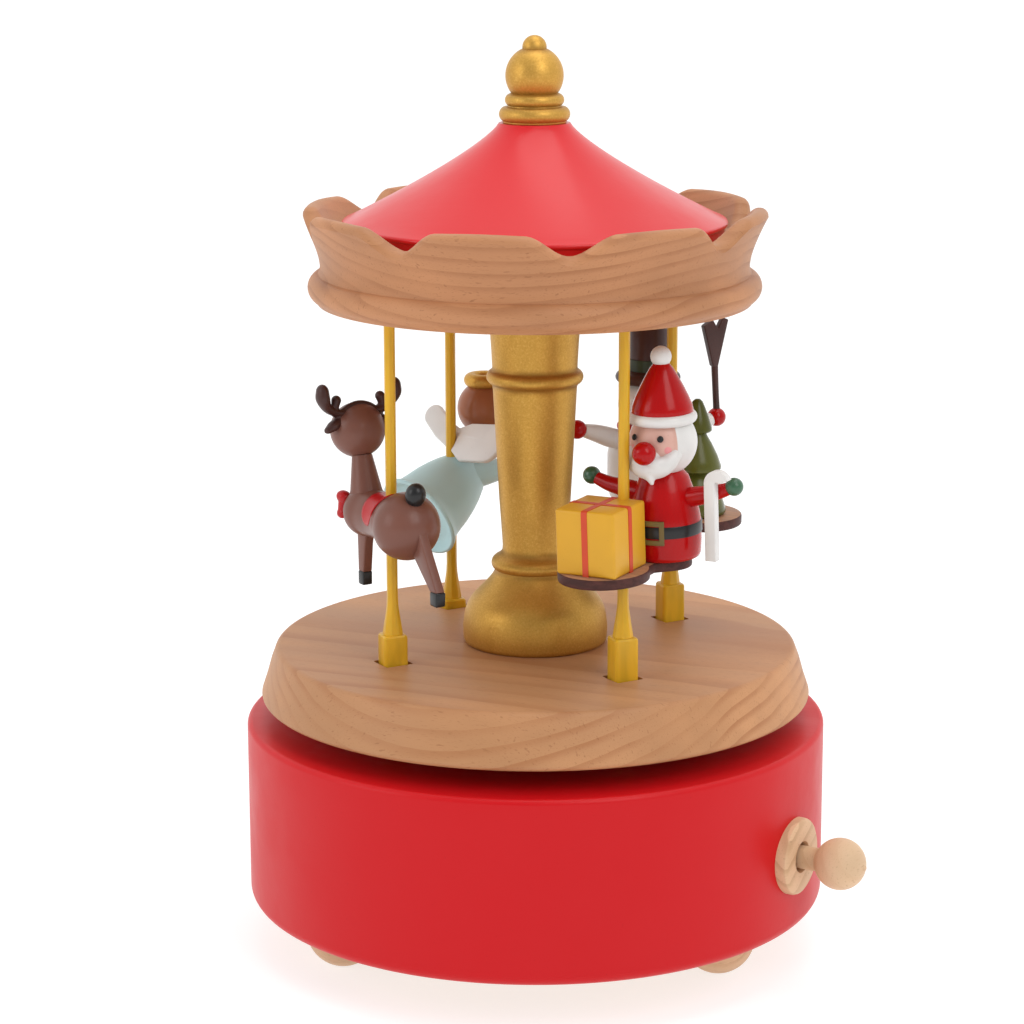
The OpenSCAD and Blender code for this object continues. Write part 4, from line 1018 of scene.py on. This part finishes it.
def make_snowman():
    make_plate("snowman", "snowman_plate", (6.8, 1.5, 9.2), -9.2)
    at = at_plate("snowman") @ moved(-9.2, 0, 0)
    head_z = 19.6
    white, dark = "white", "dark_brown"
    body = [(0, 0), (6.8, 0), (7.4, 0.4), (7.8, 1.6), (8.05, 5), (8.05, 9.4),
            (7.5, 11.8), (6.4, 13.6), (4.9, 15.0), (3.6, 15.8), (0, 16.0)]
    settle(turned("snowman_torso", body, [white], at, 80), "snowman", "white_paint", "snowman_body")
    settle(turned("snowman_head", ball_profile(6, head_z, 2, 1, 26), [white], at, 64), "snowman",
           "white_paint")
    scarf = [(5.2, 14.0)] + arc(5.4, 15.0, 0.85, -80, 80, 8) + [(4.6, 15.9), (4.2, 14.6)]
    settle(turned("snowman_scarf", scarf, ["red_trim"], at, 64, loop=True), "snowman", "red_gloss")
    nose = [(0, 0), (0.95, 0), (0.75, 0.9), (0.35, 2.4), (0, 2.9)]
    pointing = at @ moved(5.7, 0, head_z - 0.2) @ towards((1, 0, 0))
    settle(turned("snowman_nose", nose, ["orange"], pointing, 32), "snowman", "orange_paint")
    for side, name in SIDES:
        make_eye("snowman", name, "snowman", (5.2, side * 2.1, 1.7), 0.6, at @ moved(0, 0, head_z))
    for k in range(3):
        lift = 3.6 + 3.3 * k
        settle(ball(f"snowman_button_{k + 1}", (7.95 - 0.2 * (k == 2), 0, lift), 0.6, ["black"], at,
                    (1, 1, 0.5), (1, 0, 0)), "snowman", "black_paint")

    z = head_z + 4.6
    hat = [(0, z), (5.6, z)] + arc(5.55, z + 1.05, 1.1, -80, 80, 9)
    hat += [(4.6, z + 2.3), (4.0, z + 2.6), (3.9, z + 4.6), (3.85, z + 11), (3.6, z + 11.4), (0, z + 11.5)]
    settle(turned("snowman_top_hat", hat, [dark], at, 64), "snowman", "dark_brown_paint", "snowman_hat")
    sash = [(3.8, z + 2.5), (4.15, z + 2.55), (4.1, z + 4.9), (3.7, z + 5)]
    settle(turned("snowman_hat_band", sash, ["green_dark"], at, 64, loop=True), "snowman", "green_paint")

    hand = 15.1
    for (side, name), out, rise in zip(SIDES, (16.9, 17.2), (16, hand)):
        arm = [(0, 5.2, rise - 3.6, 1.7), (0, 8.6, rise - 2.6, 2.05), (0, 12.2, rise - 1.3, 1.8),
               (0, out - 1.4, rise - 0.3, 1.35)]
        settle(limb(f"snowman_{name}_arm", arm, [white], at, ends=(True, False), hand=side),
               "snowman", "white_paint", *(["snowman_arms"] if side > 0 else []))
        mitten = ball(f"snowman_{name}_mitten", (0, side * out, rise), 1.95, ["red_gloss"], at,
                      axis=(0, side, 0.1))
        settle(mitten, "snowman", "red_gloss")
    make_broom(at, hand, dark)
    make_tree()


def make_broom(at, hand, dark):
    stick = [(0, 17.2, hand + 1.2, 0.72), (0, 16.8, hand + 6, 0.68), (0, 16.35, hand + 12.6, 0.75)]
    settle(limb("broom_stick", stick, [dark], at), "snowman", "dark_brown_paint", "snow_broom")
    head = [(-0.6, -1.2), (0.65, -1.2), (3.0, 8.4), (1.7, 8.9), (0.5, 6.6), (-0.9, 8.7), (-3.0, 7.4)]
    made = slab("broom_head", head, -0.75, 0.75, [dark], at @ moved(0, 16.25, hand + 12.0) @ ACROSS, 0.22)
    settle(made, "snowman", "dark_brown_paint")


def make_tree():
    at = at_plate("snowman") @ moved(7.0, 1.2, 0)
    outline = [(0, 0), (5.5, 0), (6.0, 0.35), (6.15, 0.9), (5.3, 3.4), (3.9, 6.2), (2.6, 8.2), (2.35, 8.7),
               (4.5, 8.95), (4.95, 9.3), (5.0, 9.8), (4.2, 12), (3.0, 14.4), (2.0, 16.1), (1.9, 16.5),
               (2.7, 16.75), (3.0, 17.1), (2.95, 17.7), (2.3, 19.8), (1.5, 21.8), (1.0, 22.9),
               (0.5, 23.35), (0, 23.4)]
    settle(turned("turned_tree", outline, ["green"], at, 64), "snowman", "green_paint", "snow_tree")


# ---------- Angel ----------

def make_angel():
    at = at_pole("angel") @ spin(13.3)
    aqua, white, hair, skin = "aqua", "white", "hair", "skin"
    rise = radians(28)
    lying = at @ moved(-9.6, 0, 80.9) @ towards((cos(rise), 0, sin(rise)))
    gown = [(0, 1.6), (6.2, 1.4), (8.0, 0.7), (8.5, 0.15), (8.9, 0.0), (9.25, 0.12), (9.4, 0.45),
            (9.2, 0.95), (8.6, 1.5), (8.2, 2.8), (7.85, 5), (7.5, 7.5), (6.95, 10), (6.2, 12.5),
            (5.2, 15), (3.9, 17), (2.6, 18), (0, 18.3)]
    # The mouth and lower rim of the gown take a lighter aqua, a painted highlight
    settle(turned("angel_gown", gown, [aqua, "aqua_highlight"], lying, 96, bands=[1, 1, 1, 1, 0]),
           "angel", "aqua_paint", "angel_dress")
    skull = Vector((9.9, 0, 101.1))
    for side, name in SIDES:
        sleeve = [(3.2, 2.6, 88.2, 2.9), (6.4, 3.3, 88.5, 2.8), (9.8, 3.9, 88.6, 2.3),
                  (12.7, 4.2, 88.5, 1.7)]
        settle(limb(f"angel_{name}_sleeve", sleeve, [aqua], at, ends=(True, False), hand=side), "angel",
               "aqua_paint")
        settle(ball(f"angel_{name}_hand", (13.4, side * 4.3, 88.3), 1.2, [skin], at, axis=(1, 0, 0)),
               "angel", "hair_paint", *(["angel_head"] if side > 0 else []))
    neck = [(0, -1), (2.6, -1), (2.5, 4), (2.4, 9.6), (0, 9.6)]
    root, top = Vector((4.6, 0, 88)), Vector((9, 0, 97))
    settle(turned("angel_neck", neck, [skin], at @ Matrix.Translation(root) @ towards(top - root), 48),
           "angel", "hair_paint")
    make_angel_head(at, skull, hair, skin)
    make_angel_wings(at, white)
    halo = arc(2.8, 0, 1.45, 0, 345, 23)
    ring = at @ Matrix.Translation(skull + Vector((-0.1, 0, 5.9)))
    settle(turned("angel_ring", halo, ["gold_trim"], ring, 56, loop=True), "angel", "gold_paint",
           "angel_halo")


def make_angel_wings(at, white):
    """Two flat petals that lean back from the spine."""
    spine = at @ moved(1.9, 0, 95.5) @ spin(-57, "Y")
    for side, name, sweep, reach, end_r in ((1, "left", -30, 8.4, 2.3), (-1, "right", -2, 11, 4.2)):
        petal = arc(-0.5, reach, end_r, 0, 180, 18) + [(-0.8 - end_r, 4)]
        petal += arc(-0.3, 0.6, 2.4, 190, 360, 10) + [(end_r - 0.8, 4)]
        if side < 0:
            petal = [(x, -y) for x, y in reversed(petal)]
        place = spine @ spin(side * sweep) @ spin(side * 6, "X")
        wing = slab(f"angel_{name}_wing", petal, 0, 1.3, [white], place, 0.4)
        hole = turned("hole", [(0, 80), (1.2, 80), (1.2, 110), (0, 110)], [white], at_pole("angel"), 28)
        subtract(wing, [hole])
        settle(wing, "angel", "white_paint", *(["angel_wings"] if side > 0 else []))


def make_angel_head(at, skull, hair, skin):
    """Painted hair and a plain face that looks forward."""
    place = at @ Matrix.Translation(skull)
    head = painted_head("angel_skull", 5.7, 72, 36, 0.22, 50, 52, -91, 32, 34, [skin, hair], place)
    settle(head, "angel", "hair_paint")
    for side, name in SIDES:
        make_eye("angel", name, "angel", (5.0, side * 1.9, 0.6), 0.5, place)
    settle(ball("angel_nose", (5.55, 0, -0.5), 0.55, [skin], place, axis=(1, 0, 0)), "angel", "hair_paint")


# ---------- Pieces that keep their CAD shape ----------

def finish_cad_nodes():
    finishes = {
        "acetal": ("cam_ring",), "pale": ("bottom_cover",), "steel": ("comb", "main_shaft", "mainspring"),
        "brass": ("shaft_bush", "spring_barrel", "pinned_cylinder", "governor"),
        "zinc": ("bedplate", "cylinder_brackets", "comb_block", "governor_bracket", "hub_plate"),
        "zinc_screw": ("cover_screws", "bedplate_screws", "comb_screws", "hub_screws", "tie_rod", "tie_nut",
                       "brake_wire")}
    for finish, names in finishes.items():
        for name in names:
            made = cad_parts[name]
            made.data.materials.clear()
            made.data.materials.append(PAINTS[finish])


def make_paints():
    return {
        "red": paint("satin_red", (0.58, 0.004, 0.008), 0.4, 0.06, 0, shine=0.2),
        "red_roof": paint("glossy_red", (0.66, 0.005, 0.010), 0.335, 0.3, 0, 0.15, 0.25),
        "red_gloss": paint("doll_red", (0.42, 0.002, 0.003), 0.2, 0.2, 0.05, shine=0.15),
        "red_trim": paint("trim_red", (0.46, 0.004, 0.007), 0.38, 0.12, 0.03, shine=0.3),
        "gold_trim": gold_paint("gold_trim_paint"),
        "gold_column": gold_paint("gold_column_paint",
                                  [low("column").z + lift for lift in (14.6, 18.2, 51.8, 54.9)]),
        "gold_finial": gold_paint("gold_finial_paint", [high("roof").z + lift for lift in (3.1, 5.75, 14)]),
        "buckle": paint("buckle_gold", (0.19, 0.13, 0.035), 0.45, 0.1, 0.2, shine=0.3),
        "beech_low": beech("beech_platform_wood", 8, (0.012, -0.05)),
        "beech_high": beech("beech_crown_wood", 20, (-0.01, 0.055), (0.49, 0.228, 0.108),
                            (0.31, 0.122, 0.05)),
        "pale": beech("pale_beech", 60, (0.02, -0.03), (0.66, 0.43, 0.26), (0.50, 0.29, 0.16)),
        "foot": beech("foot_beech", 30, (0.02, -0.03), (0.66, 0.43, 0.26), (0.50, 0.29, 0.16)),
        "knob": beech("knob_beech", 80, (0.02, -0.02), (0.70, 0.48, 0.30), (0.58, 0.36, 0.21)),
        "slot": paint("slot_shadow", (0.03, 0.015, 0.008), 0.8, 0),
        "pole": moulded("golden_yellow_plastic", (0.74, 0.42, 0.022)),
        "plate": plate_wood("stained_plywood"),
        "yellow": paint("gift_yellow", (0.68, 0.35, 0.022), 0.42, 0.08, 0.04, shine=0.3),
        "orange": paint("ribbon_orange", (0.60, 0.06, 0.02), 0.45, 0.08, shine=0.3),
        "black": paint("satin_black", (0.012, 0.012, 0.013), 0.35, 0.2, shine=0.3),
        "white": paint("satin_white", (0.72, 0.70, 0.68), 0.4, 0.15),
        "skin": paint("face_pink", (0.66, 0.38, 0.31), 0.42, 0.1),
        "cheek": paint("cheek_pink", (0.76, 0.27, 0.27), 0.45, 0.1),
        "fawn": paint("fawn_brown", (0.185, 0.072, 0.050), 0.4, 0.12, 0.05, shine=0.3),
        "dark_brown": paint("dark_brown", (0.055, 0.018, 0.014), 0.42, 0.12, mottle=0.25, relief=0.5,
                            shine=0.3),
        "green": paint("tree_green", (0.062, 0.066, 0.008), 0.2, 0.25, mottle=0.45, relief=0.5, shine=0.2),
        "green_dark": paint("hat_band_green", (0.03, 0.045, 0.02), 0.4, 0.1, shine=0.3),
        "green_gloss": paint("mitten_green", (0.028, 0.105, 0.048), 0.33, 0.3),
        "aqua": paint("gown_aqua", (0.46, 0.67, 0.69), 0.42, 0.1, 0.04, shine=0.3),
        # Lighter aqua for the gown's mouth and rim, a painted highlight
        "aqua_highlight": paint("gown_mouth_painted_highlight", (0.46, 0.72, 0.76), 0.45, 0.1),
        "hair": paint("hair_brown", (0.36, 0.125, 0.055), 0.38, 0.15, shine=0.3),
        "brass": metal("brass", (0.78, 0.56, 0.24), 0.28),
        "zinc": metal("cast_zinc", (0.56, 0.56, 0.58), 0.42, (300, 300, 300)),
        "steel": metal("spring_steel", (0.60, 0.62, 0.66), 0.24),
        "zinc_screw": metal("zinc_plate", (0.62, 0.62, 0.63), 0.32),
        "acetal": moulded("natural_acetal", (0.78, 0.77, 0.74), 0.4),
    }


make_camera()
make_floor()
make_lights()
PAINTS = make_paints()
make_base()
make_platform()
make_column()
make_crown()
make_roof()
for figure in POLES:
    make_pole(figure)
make_deer()
make_doll()
make_snowman()
make_angel()
finish_cad_nodes()
